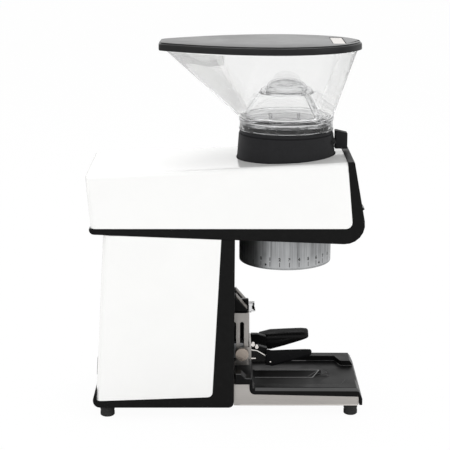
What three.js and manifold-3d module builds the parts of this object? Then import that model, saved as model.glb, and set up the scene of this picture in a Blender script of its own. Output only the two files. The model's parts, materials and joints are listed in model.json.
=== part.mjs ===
// Electric coffee grinder of the on-demand kind. Beans fall from a clear hopper through a slide
// gate and a hollow, belt-driven burr shaft in the head, and the grounds drop out below the
// adjusting ring, over a fork that holds a filter holder. The motor stands in the rear column.
// Lengths are millimetres and angles degrees. +X is the front, +Y the far side, +Z is up, and
// the origin lies on the floor below the middle of the grinder.

import * as THREE from 'three';
import { mergeVertices } from 'three/addons/utils/BufferGeometryUtils.js';
import { LoftGeometry } from 'three/addons/geometries/LoftGeometry.js';
import Module from 'manifold-3d';

const wasm = await Module();
wasm.setup();

// Edges of the side view: an upright edge leans back as it rises, a level edge climbs forward
const tan = (degrees) => Math.tan(THREE.MathUtils.degToRad(degrees));
const upright = (x, z, lean) => ({ x, z, t: tan(lean) });
const level = (x, z, climb) => ({ x, z, t: tan(climb) });
const shifted = (edge, dx, dz) => ({ ...edge, x: edge.x + dx, z: edge.z + dz });
const xAt = (edge, z) => edge.x + (edge.z - z) * edge.t;
const zAt = (edge, x) => edge.z + (x - edge.x) * edge.t;
function meet(post, rail) {
  const x = (post.x + (post.z - rail.z + rail.x * rail.t) * post.t) / (1 + rail.t * post.t);
  return [x, zAt(rail, x)];
}

// Facets round a full turn: large outer pieces, inner pieces that seat in each other, loose ones, small pins
const fine = 32;
const plain = 20;
const loose = 16;
const small = 8;

// Driving dimensions: clearances and sheet
const seat = 0.3;
const running = 1.2;
const overrun = 6;
const weld = 1e-4;
const edgeRadius = 9;
const sheet = 2.5;
const casting = 4;
const skirt = 6;

// Widths across, from the grinding chamber through the bridge's posts out to the covers
const chamberRadius = 58;
const postCircle = chamberRadius + 18;
const flangeRadius = postCircle + 12;
const halfWidth = flangeRadius + casting + skirt;

// Driving dimensions: head
const head = {
  top: level(-220.4, 395.8, 2.73),
  rear: upright(-220.4, 395.8, 4.5),
  rearRadius: 5,
  coverFoot: level(-213.4, 311.3, 0),
  coverFront: upright(184, 416.9, 5.44),
  coverFrontRadius: 10,
  underside: level(-210.5, 302.2, -2.24),
  front: upright(194.1, 420.4, 10.5),
  lipProud: 2,
  lipRadius: 8,
  chinRadius: 31,
  stripProud: 1.5,
  stripRadius: 2.5,
};

// Driving dimensions: column
const column = {
  front: upright(11.3, 292, -0.35),
  frontRadius: 8,
  foot: level(-215, 17.5, 0),
  heelX: -215,
  heelZ: 31,
  heelTopZ: 48.1,
  heelRadius: 11,
  coverRear: upright(-193.9, 302.2, -3.43),
  coverFront: upright(-10.1, 293.1, -3.19),
  coverFoot: level(-209, 28.7, 2.1),
  coverRadius: 8,
  niche: {
    halfWidth: 40, depth: 11, footZ: 61, topZ: 206, wall: 4, ribHalf: 3, ribFrontX: 28, ribFootZ: 66, ribTopZ: 137,
  },
  vent: { count: 7, pitch: 9, height: 4, halfLength: 38, lowZ: 128 },
};

// Driving dimensions: burr axis, from the bottom up
const burrX = 93;
const ring = { radius: 74, footZ: 238.4, topZ: 296, wall: 5, web: 6, sleeveWall: 5, sleeveFootZ: 262 };
const barrel = {
  radius: chamberRadius, bore: chamberRadius - 6, footZ: 288, topZ: 343, flangeZ: 298.3, flange: 6, shoulder: 4,
};
const bearing = { inner: 35, outer: 45, height: 10, lowerZ: 330, upperZ: 364, race: 2.6, shieldDip: 0.8 };
const burr = {
  radius: 41.5, bore: 25, height: 11, gap: 1.5, teeth: 12, toothDepth: 1.6, toothSkew: 18, footZ: 296,
};
const hub = { bore: 27.5, flange: 6, collar: 3, topZ: 379 };
const carrier = { sleeve: 48.5, arms: 4, armWidth: 9, disc: 4, threadFootZ: 264, threadTopZ: 286 };
const funnel = { wall: 2, spout: 16, spoutTopZ: 248, spoutFootZ: 241 };
const bridge = { postRadius: 6, postAngle: 50, plateZ: 376, plate: 6, hubWall: 6, armWidth: 16 };

// Driving dimensions: belt drive and motor
const motorX = -110;
const belt = { width: 12, thickness: 3, midZ: 353, rotorPulley: 50, motorPulley: 29, flangeRise: 4, flange: 2 };
const motor = {
  radius: 58, topZ: 283, height: 132, bell: 16, bellInset: 5, boss: 22, bossHeight: 3, shaft: 7,
  ribs: 8, rib: 2.4, ribDepth: 3, padZ: 290, padHalf: 64, padRadius: 10,
  fanRadius: 52, fanHeight: 11, fanBlades: 9, fanPlate: 2.4, fanHub: 14, fanPitch: 12, tail: 22,
};
const capacitor = { radius: 20, height: 78, x: -38, y: halfWidth - 46, terminal: 3, terminalHeight: 9, edge: 2.5 };

// Driving dimensions: hopper, gate and lid
const collar = {
  topRadius: 75, taper: 3.8, footZ: 396, height: 57, wall: 5, seamDrop: 6.5, seam: 1.2,
  deckDrop: 26, deck: 6, spout: 30, spoutDrop: 6, holePlay: 0.6,
};
const gate = {
  width: 62, thickness: 3, lift: 0.4, gripGap: 2.6, gripLength: 19.8, gripBack: 29.1, gripFront: 25,
  gripWidth: 17, gripRadius: 1.6, gripEdge: 1, slotPlay: 0.5, cornerRadius: 2,
};
const neck = { outside: 0.2, rise: 20, wall: 3, spigot: 27, spigotDrop: 15.5, funnelRise: 5 };
const bowl = { facets: 48, wall: 3, height: 104, rearX: -95.5, frontX: 205, inside: 8, footInside: 0.6 };
const guard = {
  footInside: 8.2, slope: 27, ledge: 9, foot: 1.2, band: 37, shoulder: 44, dome: 48, peak: 59.7, wall: 2.6,
  legHalf: 6.5, legAngle: 42, lug: 6,
};
const lid = {
  facets: 32, rearX: -108.2, frontX: 212, halfWidth: 98, rimGap: 2.5, height: 12.5, plate: 3.4, skirt: 3,
  edge: 3.4, tongueDrop: 9, tongue: 2.4, badgeFrontGap: 30, badgeLength: 19, badgeHalf: 42, badgeDepth: 1.4,
  badgeProud: 0.4, badgeRadius: 2,
};
// Heights of the hopper's parts, each from the one below it
const collarTopZ = collar.footZ + collar.height;
const deckZ = collarTopZ - collar.deckDrop;
const neckTopZ = collarTopZ + neck.rise;
const rimZ = neckTopZ + bowl.height;
const lidFootZ = rimZ + lid.rimGap;
const lidTopZ = lidFootZ + lid.height;
const throat = {
  rimRadius: 36, rimZ: deckZ - 9, waistZ: 392, outletRadius: 23.5, wall: 2.5, footZ: 352,
};
const collarFootRadius = collar.topRadius + collar.taper;
const neckRadius = collar.topRadius + neck.outside;

// Outline of the lid from its rear end to its front end: share of its length, share of its half width
const lidShares = [
  [0, 0.12], [0.004, 0.24], [0.022, 0.35], [0.097, 0.49], [0.169, 0.635], [0.279, 0.79],
  [0.391, 0.915], [0.503, 0.975], [0.588, 1], [0.71, 0.945], [0.838, 0.775], [0.906, 0.605],
  [0.944, 0.455], [0.975, 0.28], [0.993, 0.13],
];

// Driving dimensions: base, feet and tray
const base = {
  halfWidth: halfWidth - 10, frontX: 210, top: level(45.4, 37, -1.3), rearTopZ: 53.9, stepX: 35,
  stepRadius: 8, footZ: 17.8, sheet: 2, frontRadius: 3, windowHalf: 62, windowRearX: 60, windowFrontX: 190,
};
const feet = {
  frontRadius: 11, frontX: base.frontX - 12, frontY: base.halfWidth - 13, rearRadius: 11.5,
  rearX: column.heelX + 22, rearY: halfWidth - 16, edge: 1.5, neck: 1.5,
};
const tray = {
  halfWidth: base.halfWidth + 4, frontX: 215.6, lipFootZ: 19.5, lipTopZ: 30, rearTopZ: 72.5, cheekTopX: 21.6,
  shelfX: 29, shelfZ: 65, shelfRadius: 3.5, cheekFrontX: 39, cheekRadius: 5, rimZ: 48.5, browX: 210, browZ: 42.5,
  rimFrontX: 206.5, rimFrontZ: 47.8, floorZ: 38.8, basinHalf: 71, basinRearX: 41.5, basinRadius: 7,
  cornerX: 182, cornerHalf: 46, cornerSlant: 9, edge: 1.2,
};
// Deck of the tray: a low plinth with gentle flanks, and a roof-shaped ridge on it that sheds water
const plinth = {
  footHalf: 60, footFrontX: 141, footNoseX: 169, footNoseHalf: 9,
  half: 24, frontX: 139.5, noseX: 165, noseHalf: 3, topZ: 42.5,
};
const ridge = {
  footHalf: 19.5, footFrontX: 131.5, footNoseX: 155.5, footNoseHalf: 2.5,
  half: 3, frontX: 151, noseX: 154, noseHalf: 1.2, topZ: 48,
};

// Driving dimensions: fork, its bracket and the trigger above it
const bracket = {
  halfWidth: 35, footZ: 67.5, topZ: 156, rearX: 0.8, frontX: 35.4, sheet: 2.5, slotX: 23.4, slotWidth: 6.4,
  slotTopZ: 141, slotFootZ: 74, backSlotX: 10.6, bend: 3, notchHalf: 9, notchFootZ: 143,
};
const fork = {
  knobZ: 88.9, slider: { rearX: 4, footZ: 79, topZ: 104, play: 0.35 },
  yoke: 3, yokeFootZ: 79, yokeTopZ: 99, yokeRearX: 15,
  plateTop: 98.3, plateMidX: 48.1, plateMidZ: 94.2, plateTipX: 64.6, plateTipZ: 84.3,
  plateNoseX: 68.2, plateNoseZ: 75.2, plateFootX: 39.8, plateFootZ: 74.4,
  armInner: 26, armFootX: 47, armTopZ: 101, armFrontX: 64.4, armFrontTopZ: 97, armRadius: 2, armEdge: 1,
  sleeveInner: 33, sleeveOuter: 53, cradleRise: 7, sleeveRadius: 5,
};
// Stations of a fork sleeve: forward place, underside height, top height, how far its flanks are drawn in
const sleeveStations = [
  [64.8, 72.6, 96.5, 2], [72, 70.8, 99.2, 0], [97.2, 78, 100.2, 0],
  [124, 85.8, 101, 0], [133, 88.4, 100.8, 0.6], [135, 89.6, 99.8, 1.6], [135.8, 91, 98.4, 2.8],
];
const knob = { radius: 11, head: 8, shank: 2.5, knurls: 22, knurl: 0.6, collarRadius: 6, collar: 1.6 };
const trigger = {
  halfWidth: 30, topZ: 182.7, noseX: 31.2, noseTopZ: 160.4, cover: 2,
  leverHalf: 3.4, leverRearX: 20, leverFrontX: 34.6, leverTopZ: 170.6, leverFootZ: 147, slot: 0.8,
  pivotX: 8, pivotZ: 166, pinRadius: 2, clipLength: 9.4, clipTopZ: 164, clipFootZ: 148, clip: 2.6,
  clipRadius: 0.8, clipEdge: 0.6, radius: 2, edge: 1,
};

// Driving dimensions: controls and mains parts
const panel = {
  windowZ: 377, windowHeight: 34, windowHalf: 36, windowRadius: 3, glass: 1.6, recess: 0.6, ledge: 3,
  keyZ: 346, keyRadius: 7, keyPitch: 30, keyProud: 1.2, keyDepth: 8, keyPlay: 0.4,
  boardHalf: 60, boardThickness: 1.6, boardHeight: 78, boardZ: 363, boardBack: 9.5, standoff: 3, standoffInset: 6,
};
const startKey = { z: 325.4, halfWidth: 17, height: 12, tipX: 220, play: 0.5, depth: 7, proud: 0.5, edge: 1 };
const inlet = { z: 74, y: -34, halfWidth: 14, height: 20, flangeHalf: 25, flangeHeight: 28, flange: 2.4, depth: 24, pin: 1.6 };
const rocker = { z: 74, y: 34, halfWidth: 9, height: 20, depth: 18, play: 0.4, tilt: 7, proud: 3, frame: 2.2, border: 3, radius: 0.6 };

// Finishes
const finish = (color, roughness, metalness, extra = {}) =>
  () => new THREE.MeshPhysicalMaterial({ color, roughness, metalness, ...extra });
const whitePaint = finish(0xf5f5f3, 0.25, 0);
const blackSatin = finish(0x232323, 0.5, 0);
const blackMatte = finish(0x2b2b2c, 0.75, 0);
const greyLid = finish(0x3a3d3f, 0.45, 0);
const brushed = finish(0xb4b4b2, 0.35, 1);
const stainless = finish(0xaaa6a2, 0.38, 1);
const nickel = finish(0x9c9085, 0.3, 1);
const hardSteel = finish(0x8a8d90, 0.28, 1);
const castAlloy = finish(0xa0a3a6, 0.5, 1);
const rubber = finish(0x1c1c1c, 0.85, 0);
const clear = finish(0xf2f5f7, 0.05, 0, { transparent: true, opacity: 0.3 });
const greenBoard = finish(0x1f5a3c, 0.6, 0);
const darkGlass = finish(0x101214, 0.08, 0);

// Solids: a closed geometry becomes a solid with its triangles turned outwards, and back
function solid(geometry) {
  const bare = new THREE.BufferGeometry();
  bare.setAttribute('position', geometry.attributes.position);
  bare.setIndex(geometry.index);
  const joined = mergeVertices(bare, weld);
  const points = joined.attributes.position;
  const corners = [];
  let volume = 0;
  const [a, b, c] = [new THREE.Vector3(), new THREE.Vector3(), new THREE.Vector3()];
  for (let i = 0; i < joined.index.count; i += 3) {
    const face = [0, 1, 2].map((k) => joined.index.getX(i + k));
    if (new Set(face).size < 3) continue;
    corners.push(...face);
    [a, b, c].forEach((corner, k) => corner.fromBufferAttribute(points, face[k]));
    volume += a.dot(b.cross(c));
  }
  if (volume < 0) corners.reverse();
  return new wasm.Manifold(new wasm.Mesh({
    numProp: 3, vertProperties: Float32Array.from(points.array), triVerts: Uint32Array.from(corners),
  }));
}
function geometryOf(body) {
  const mesh = body.getMesh();
  const geometry = new THREE.BufferGeometry();
  geometry.setAttribute('position', new THREE.BufferAttribute(mesh.vertProperties, 3));
  geometry.setIndex(new THREE.BufferAttribute(mesh.triVerts, 1));
  geometry.computeVertexNormals();
  return geometry;
}
const joinAll = (bodies) => bodies.reduce((sum, body) => sum.add(body));
const cutAll = (body, cutters) => cutters.reduce((rest, cutter) => rest.subtract(cutter), body);
const turnZ = (body, degrees) => body.rotate([0, 0, degrees]);
const mirrorY = (body) => body.mirror([0, 1, 0]);

// Shapes: a closed outline whose corners, given as [u, v, radius], are rounded by arcs
function outline(corners, steps = 4) {
  const shape = new THREE.Shape();
  corners.forEach(([u, v, radius = 0], i) => {
    const here = new THREE.Vector2(u, v);
    const before = new THREE.Vector2(...corners[(i + corners.length - 1) % corners.length].slice(0, 2));
    const after = new THREE.Vector2(...corners[(i + 1) % corners.length].slice(0, 2));
    const back = before.sub(here).normalize();
    const on = after.sub(here).normalize();
    const half = Math.acos(THREE.MathUtils.clamp(back.dot(on), -1, 1)) / 2;
    const points = [];
    if (radius === 0) points.push(here);
    else {
      const middle = here.clone().addScaledVector(back.clone().add(on).normalize(), radius / Math.sin(half));
      const start = here.clone().addScaledVector(back, radius / Math.tan(half)).sub(middle);
      const sweep = (Math.PI - 2 * half) * Math.sign(back.cross(on)) * -1;
      for (let k = 0; k <= steps; k += 1) {
        points.push(start.clone().rotateAround(new THREE.Vector2(), sweep * k / steps).add(middle));
      }
    }
    points.forEach((point, k) => {
      if (i === 0 && k === 0) shape.moveTo(point.x, point.y);
      else shape.lineTo(point.x, point.y);
    });
  });
  shape.closePath();
  return shape;
}
const rectangle = (u0, u1, v0, v1, radius = 0) =>
  outline([[u0, v0, radius], [u1, v0, radius], [u1, v1, radius], [u0, v1, radius]]);

// Prisms: side outlines (x, z) run across Y, plan outlines (x, y) run up Z, front outlines (y, z) run along X
const extruded = (shape, length, bevel, steps) => new THREE.ExtrudeGeometry(shape, {
  depth: length - 2 * bevel, bevelEnabled: bevel > 0, bevelThickness: bevel, bevelSize: bevel,
  bevelOffset: -bevel, bevelSegments: steps, curveSegments: 1,
}).translate(0, 0, bevel);
const sidePrism = (shape, y0, y1, bevel = 0, steps = 2) =>
  solid(extruded(shape, y1 - y0, bevel, steps).rotateX(Math.PI / 2).translate(0, y1, 0));
const planPrism = (shape, z0, z1, bevel = 0, steps = 2) =>
  solid(extruded(shape, z1 - z0, bevel, steps).translate(0, 0, z0));
const frontPrism = (shape, x0, x1, bevel = 0, steps = 2) =>
  solid(extruded(shape, x1 - x0, bevel, steps).rotateX(Math.PI / 2).rotateZ(Math.PI / 2).translate(x0, 0, 0));
const block = (x0, x1, y0, y1, z0, z1) => solid(new THREE.BoxGeometry(x1 - x0, y1 - y0, z1 - z0)
  .translate((x0 + x1) / 2, (y0 + y1) / 2, (z0 + z1) / 2));
const revolve = (profile, segments = plain) => solid(new THREE.LatheGeometry(
  [...profile, profile[0]].map(([r, z]) => new THREE.Vector2(r, z)), segments).rotateX(Math.PI / 2));
const rod = (radius, z0, z1, segments = small) => solid(
  new THREE.CylinderGeometry(radius, radius, z1 - z0, segments).rotateX(Math.PI / 2).translate(0, 0, (z0 + z1) / 2));
const rodY = (radius, y0, y1, x, z, segments = small) => solid(
  new THREE.CylinderGeometry(radius, radius, y1 - y0, segments).translate(x, (y0 + y1) / 2, z));
const tube = (inner, outer, z0, z1, segments = plain) =>
  revolve([[inner, z0], [outer, z0], [outer, z1], [inner, z1]], segments);

const grinder = new THREE.Group();
grinder.name = 'coffee_grinder';
const groupAt = (x, y = 0, z = 0) => {
  const group = new THREE.Group();
  group.position.set(x, y, z);
  grinder.add(group);
  return group;
};
function part(name, body, look, group = grinder) {
  const mesh = new THREE.Mesh(geometryOf(body), look());
  mesh.name = name;
  group.add(mesh);
  return mesh;
}

// Head frame: a black tray with a leaning front panel, open above under the white cover
function headOutline(t) {
  const rear = upright(head.coverFoot.x - head.lipProud + t, head.coverFoot.z, 0);
  const under = shifted(head.underside, 0, t);
  const front = shifted(head.front, -t, 0);
  const strip = shifted(head.top, 0, head.stripProud - t);
  const inner = shifted(head.coverFront, t > 0 ? -overrun : seat, 0);
  const rim = head.coverFoot.z - (t > 0 ? -overrun : seat);
  const rimEdge = level(0, rim, 0);
  const innerRadius = t > 0 ? 0 : head.coverFrontRadius;
  return outline([
    [rear.x, rim], [...meet(rear, under), head.lipRadius - t], [...meet(front, under), head.chinRadius - t],
    [...meet(front, strip), Math.max(head.stripRadius - t, 0)], meet(inner, strip),
    [...meet(inner, rimEdge), innerRadius],
  ], 6);
}
// Places a body made round the origin, with +X pointing out, on the front panel's face at the height z
const onPanel = (body, z) => body.rotate([0, -THREE.MathUtils.radToDeg(Math.atan(head.front.t)), 0])
  .translate([xAt(head.front, z), 0, z]);
function headFrame() {
  const whole = sidePrism(headOutline(0), -halfWidth, halfWidth);
  const hollow = sidePrism(headOutline(casting), -halfWidth + skirt, halfWidth - skirt);
  const seatRing = rod(flangeRadius + overrun / 3, head.underside.z - 2 * overrun, barrel.flangeZ - seat, fine)
    .translate([burrX, 0, 0]).intersect(sidePrism(outline([
      [-halfWidth, zAt(head.underside, -halfWidth)], [head.front.x, zAt(head.underside, head.front.x)],
      [head.front.x, head.coverFoot.z], [-halfWidth, head.coverFoot.z]]), -halfWidth + skirt, halfWidth - skirt));
  const ringHole = rod(ring.radius + running, ring.footZ, head.coverFoot.z, fine).translate([burrX, 0, 0]);
  const pad = block(motorX - motor.padHalf, motorX + motor.padHalf, -motor.padHalf, motor.padHalf,
    motor.padZ, zAt(head.underside, motorX) + casting / 2);
  const beltNeck = rod(motor.boss + running, motor.padZ - overrun, head.coverFoot.z, plain).translate([motorX, 0, 0]);
  const window = onPanel(frontPrism(rectangle(-panel.windowHalf, panel.windowHalf, -panel.windowHeight / 2,
    panel.windowHeight / 2, panel.windowRadius), -panel.glass - panel.recess, overrun), panel.windowZ);
  const sight = onPanel(frontPrism(rectangle(-panel.windowHalf + panel.ledge, panel.windowHalf - panel.ledge,
    -panel.windowHeight / 2 + panel.ledge, panel.windowHeight / 2 - panel.ledge), -3 * overrun, overrun), panel.windowZ);
  const keyHoles = [-1, 1].map((side) => onPanel(solid(new THREE.CylinderGeometry(panel.keyRadius + panel.keyPlay,
    panel.keyRadius + panel.keyPlay, 6 * overrun, plain).rotateZ(Math.PI / 2))
    .translate([0, side * panel.keyPitch / 2, 0]), panel.keyZ));
  const startHole = block(head.front.x - overrun, startKey.tipX + overrun, -startKey.halfWidth - startKey.play,
    startKey.halfWidth + startKey.play, startKey.z - startKey.height / 2 - startKey.play,
    startKey.z + startKey.height / 2 + startKey.play);
  return cutAll(whole.subtract(hollow).add(seatRing).add(pad),
    [ringHole, beltNeck, window, sight, ...keyHoles, startHole]);
}

// Covers: white shells, rounded along the edges that stay free and cut sharp where they meet the frames
function headCoverOutline(t, far) {
  const top = shifted(head.top, 0, -t);
  const rear = shifted(head.rear, t, 0);
  const front = shifted(head.coverFront, far, 0);
  const foot = shifted(head.coverFoot, 0, -far);
  return outline([
    meet(rear, foot), [...meet(rear, top), far > 0 ? 0 : head.rearRadius], meet(front, top),
    [...meet(front, foot), far > 0 ? 0 : head.coverFrontRadius],
  ]);
}
function headCover() {
  const skin = sidePrism(headCoverOutline(0, edgeRadius), -halfWidth, halfWidth, edgeRadius, 4)
    .intersect(sidePrism(headCoverOutline(0, 0), -halfWidth - overrun, halfWidth + overrun));
  const hollow = sidePrism(headCoverOutline(sheet, 2 * edgeRadius), -halfWidth + sheet, halfWidth - sheet,
    edgeRadius - sheet, 2);
  const collarHole = rod(collarFootRadius + collar.holePlay, head.coverFoot.z, collarTopZ, fine)
    .translate([burrX, 0, 0]);
  return skin.subtract(hollow).subtract(collarHole);
}
function columnCoverOutline(grow, ends) {
  const rear = shifted(column.coverRear, -grow, 0);
  const front = shifted(column.coverFront, grow, 0);
  const foot = shifted(column.coverFoot, 0, -grow - ends);
  const top = shifted(head.underside, 0, -seat + grow + ends);
  return outline([
    meet(front, top), [...meet(front, foot), ends > 0 ? 0 : column.coverRadius], meet(rear, foot), meet(rear, top),
  ]);
}
function columnCover() {
  const skin = sidePrism(columnCoverOutline(0, edgeRadius), -halfWidth, halfWidth, edgeRadius, 3)
    .add(block(-halfWidth, column.coverFront.x, -halfWidth, halfWidth, column.coverFoot.z, head.coverFoot.z))
    .intersect(sidePrism(columnCoverOutline(0, 0), -halfWidth - overrun, halfWidth + overrun));
  const inner = outline([
    meet(shifted(column.coverRear, sheet, 0), level(0, 0, 0)),
    [column.front.x + overrun, 0], [column.front.x + overrun, head.top.z],
    meet(shifted(column.coverRear, sheet, 0), level(0, head.top.z, 0)),
  ]);
  const hollow = sidePrism(inner, -halfWidth + sheet, halfWidth - sheet, edgeRadius - sheet);
  const vents = Array.from({ length: column.vent.count }, (_, i) => {
    const z = column.vent.lowZ + i * column.vent.pitch;
    const x = xAt(column.coverRear, z);
    return block(x - overrun, x + overrun, -column.vent.halfLength, column.vent.halfLength, z, z + column.vent.height);
  });
  return cutAll(skin.subtract(hollow), [...vents, rearOpening(inlet, seat), rearOpening(rocker, seat)]);
}
// Opening in the leaning rear wall for a mains part, grown by play on every side
function rearOpening(item, play) {
  const x = xAt(column.coverRear, item.z);
  const reach = overrun;
  return block(x - reach, x + reach, item.y - item.halfWidth - play, item.y + item.halfWidth + play,
    item.z - item.height / 2 - play, item.z + item.height / 2 + play);
}

// Column frame: black front wall with a niche for the fork and a guide rib in it, and the floor, open inside
function columnOutline(t) {
  const front = shifted(column.front, -t, 0);
  const foot = shifted(column.foot, 0, t);
  const topEdge = shifted(head.underside, 0, t > 0 ? overrun : -seat);
  const heel = upright(column.heelX + t, column.heelZ, 0);
  const heelTop = xAt(column.coverRear, column.heelTopZ) - sheet / 2;
  return outline([
    meet(front, topEdge), [...meet(front, foot), column.frontRadius - t], [...meet(heel, foot), column.heelRadius - t],
    [heel.x, column.heelZ], [heelTop + t, column.heelTopZ],
    [xAt(column.coverRear, column.heelTopZ) + casting + t, column.heelTopZ],
    meet(shifted(column.coverRear, casting, 0), topEdge),
  ]);
}
function columnFrame() {
  const niche = column.niche;
  const whole = sidePrism(columnOutline(0), -halfWidth, halfWidth);
  const hollow = sidePrism(columnOutline(casting), -halfWidth + skirt, halfWidth - skirt);
  const coverSpace = sidePrism(columnCoverOutline(seat, 0), -halfWidth - overrun, halfWidth + overrun)
    .add(block(column.coverRear.x, column.coverFront.x - overrun, -halfWidth - overrun, halfWidth + overrun,
      column.heelTopZ, head.coverFoot.z));
  const nicheBack = column.front.x - niche.depth;
  const nicheWall = block(nicheBack - niche.wall, column.front.x - casting / 2, -niche.halfWidth - niche.wall,
    niche.halfWidth + niche.wall, niche.footZ - niche.wall, niche.topZ + niche.wall);
  const nicheHollow = block(nicheBack, column.front.x + overrun, -niche.halfWidth, niche.halfWidth,
    niche.footZ, niche.topZ);
  const rib = block(nicheBack - niche.wall / 2, niche.ribFrontX, -niche.ribHalf, niche.ribHalf,
    niche.ribFootZ, niche.ribTopZ);
  return whole.subtract(hollow).subtract(coverSpace).add(nicheWall).subtract(nicheHollow).add(rib);
}

// Base and feet
function basePlate() {
  const rear = upright(xAt(column.front, base.footZ) + seat, base.footZ, 0);
  const corners = (t) => outline([
    [rear.x + t, base.footZ + t], [base.frontX - t, base.footZ + t, Math.max(base.frontRadius - t, 0)],
    [base.frontX - t, zAt(base.top, base.frontX) - t, Math.max(base.frontRadius - t, 0)],
    [base.stepX - t, zAt(base.top, base.stepX) - t, base.stepRadius + t],
    [base.stepX - t, base.rearTopZ - t], [rear.x + t, base.rearTopZ - t],
  ]);
  const window = block(base.windowRearX, base.windowFrontX, -base.windowHalf, base.windowHalf,
    base.footZ + base.sheet + seat, base.rearTopZ);
  return sidePrism(corners(0), -base.halfWidth, base.halfWidth)
    .subtract(sidePrism(corners(base.sheet), -base.halfWidth + base.sheet, base.halfWidth - base.sheet))
    .subtract(window);
}
const foot = (radius, height) => revolve([
  [0, 0], [radius - feet.edge, 0], [radius, feet.edge], [radius, height - feet.edge],
  [radius - feet.neck, height], [0, height],
], small + small / 2);

// Drip tray: broad side rims, raised rear cheeks, a low pointed deck and a front that is open over a leaning lip
function dripTray() {
  const under = shifted(base.top, 0, seat);
  const rearX = xAt(column.front, tray.rearTopZ) + seat + running;
  const body = sidePrism(outline([
    [rearX, base.rearTopZ + seat], [base.stepX + seat, base.rearTopZ + seat],
    [base.stepX + seat, zAt(under, base.stepX), base.stepRadius],
    [base.frontX + seat * 2, zAt(under, base.frontX)], [base.frontX + seat * 2, tray.lipFootZ],
    [tray.frontX, tray.lipFootZ], [tray.frontX, tray.lipTopZ], [tray.browX, tray.browZ],
    [tray.rimFrontX, tray.rimFrontZ], [tray.cheekFrontX, tray.rimZ, tray.cheekRadius],
    [tray.cheekFrontX, tray.shelfZ, tray.shelfRadius], [tray.shelfX, tray.shelfZ, tray.cheekRadius],
    [tray.cheekTopX, tray.rearTopZ], [rearX, tray.rearTopZ],
  ]), -tray.halfWidth, tray.halfWidth, tray.edge, 2);
  const middle = block(rearX - overrun, tray.basinRearX + overrun, -tray.basinHalf, tray.basinHalf,
    base.rearTopZ + seat + 2 * tray.edge, tray.rearTopZ + overrun);
  const basin = planPrism(outline([
    [tray.basinRearX, -tray.basinHalf, tray.basinRadius], [tray.cornerX, -tray.basinHalf, 0],
    [tray.cornerX + tray.cornerSlant, -tray.cornerHalf, 0], [tray.frontX + overrun, -tray.cornerHalf, 0],
    [tray.frontX + overrun, tray.cornerHalf, 0], [tray.cornerX + tray.cornerSlant, tray.cornerHalf, 0],
    [tray.cornerX, tray.basinHalf, 0], [tray.basinRearX, tray.basinHalf, tray.basinRadius],
  ]), tray.floorZ, tray.rearTopZ + overrun);
  return body.subtract(middle).subtract(basin).add(drainDeck(rearX));
}
// Space below the tray, down to the floor: the base plate's top with its step, kept clear by the seat
function trayUnderside(rearX) {
  const under = shifted(base.top, 0, seat);
  const stepX = base.stepX + seat;
  return sidePrism(outline([
    [rearX, 0], [base.frontX, 0], [base.frontX, zAt(under, base.frontX)],
    [stepX, zAt(under, stepX), base.stepRadius], [stepX, base.rearTopZ + seat], [rearX, base.rearTopZ + seat],
  ]), -base.halfWidth, base.halfWidth);
}
function drainDeck(rearX) {
  const section = (half, frontX, noseX, noseHalf, z) => [
    [rearX, -half], [frontX, -half], [noseX, -noseHalf], [noseX, noseHalf], [frontX, half], [rearX, half],
  ].map(([x, y]) => new THREE.Vector3(x, y, z));
  const rise = ({ footHalf, footFrontX, footNoseX, footNoseHalf, half, frontX, noseX, noseHalf, topZ }, footZ) =>
    solid(new LoftGeometry([
      section(footHalf, footFrontX, footNoseX, footNoseHalf, footZ), section(half, frontX, noseX, noseHalf, topZ),
    ], { capStart: true, capEnd: true }));
  return rise(plinth, tray.floorZ - tray.edge / 2).add(rise(ridge, plinth.topZ - tray.edge / 2))
    .subtract(trayUnderside(rearX - overrun));
}

// Burr chamber, bridge and bearings round the burr axis
function grindingChamber() {
  const shoulderZ = bearing.lowerZ - seat - barrel.shoulder;
  return revolve([
    [barrel.bore, barrel.footZ], [barrel.radius, barrel.footZ], [barrel.radius, barrel.flangeZ],
    [flangeRadius, barrel.flangeZ], [flangeRadius, barrel.flangeZ + barrel.flange],
    [barrel.radius, barrel.flangeZ + barrel.flange], [barrel.radius, barrel.topZ],
    [bearing.outer + seat, barrel.topZ], [bearing.outer + seat, shoulderZ + barrel.shoulder],
    [burr.radius + running, shoulderZ + barrel.shoulder], [burr.radius + running, shoulderZ],
    [barrel.bore, shoulderZ],
  ]);
}
function bearingBody(z) {
  const { inner, outer, race, shieldDip, height } = bearing;
  return revolve([
    [inner, z], [outer, z], [outer, z + height], [outer - race, z + height],
    [outer - race, z + height - shieldDip], [inner + race, z + height - shieldDip], [inner + race, z + height],
    [inner, z + height],
  ]);
}
function bearingBridge() {
  const hubTube = tube(bearing.outer + seat, bearing.outer + seat + bridge.hubWall, bearing.upperZ - seat,
    bridge.plateZ + bridge.plate);
  const lip = tube(bearing.inner + hub.collar + running * 3, bearing.outer + bridge.hubWall / 2,
    bearing.upperZ + bearing.height + seat, bridge.plateZ + bridge.plate);
  const arms = [-1, 1].flatMap((side) => [bridge.postAngle, 180 - bridge.postAngle].map((angle) => {
    const arm = block(bearing.outer + bridge.hubWall / 2, postCircle, -bridge.armWidth / 2,
      bridge.armWidth / 2, bridge.plateZ, bridge.plateZ + bridge.plate);
    const post = rod(bridge.postRadius, barrel.flangeZ + barrel.flange + seat, collar.footZ - seat)
      .translate([postCircle, 0, 0]);
    return turnZ(arm.add(post), side * angle);
  }));
  return joinAll([hubTube, lip, ...arms]);
}

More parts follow.
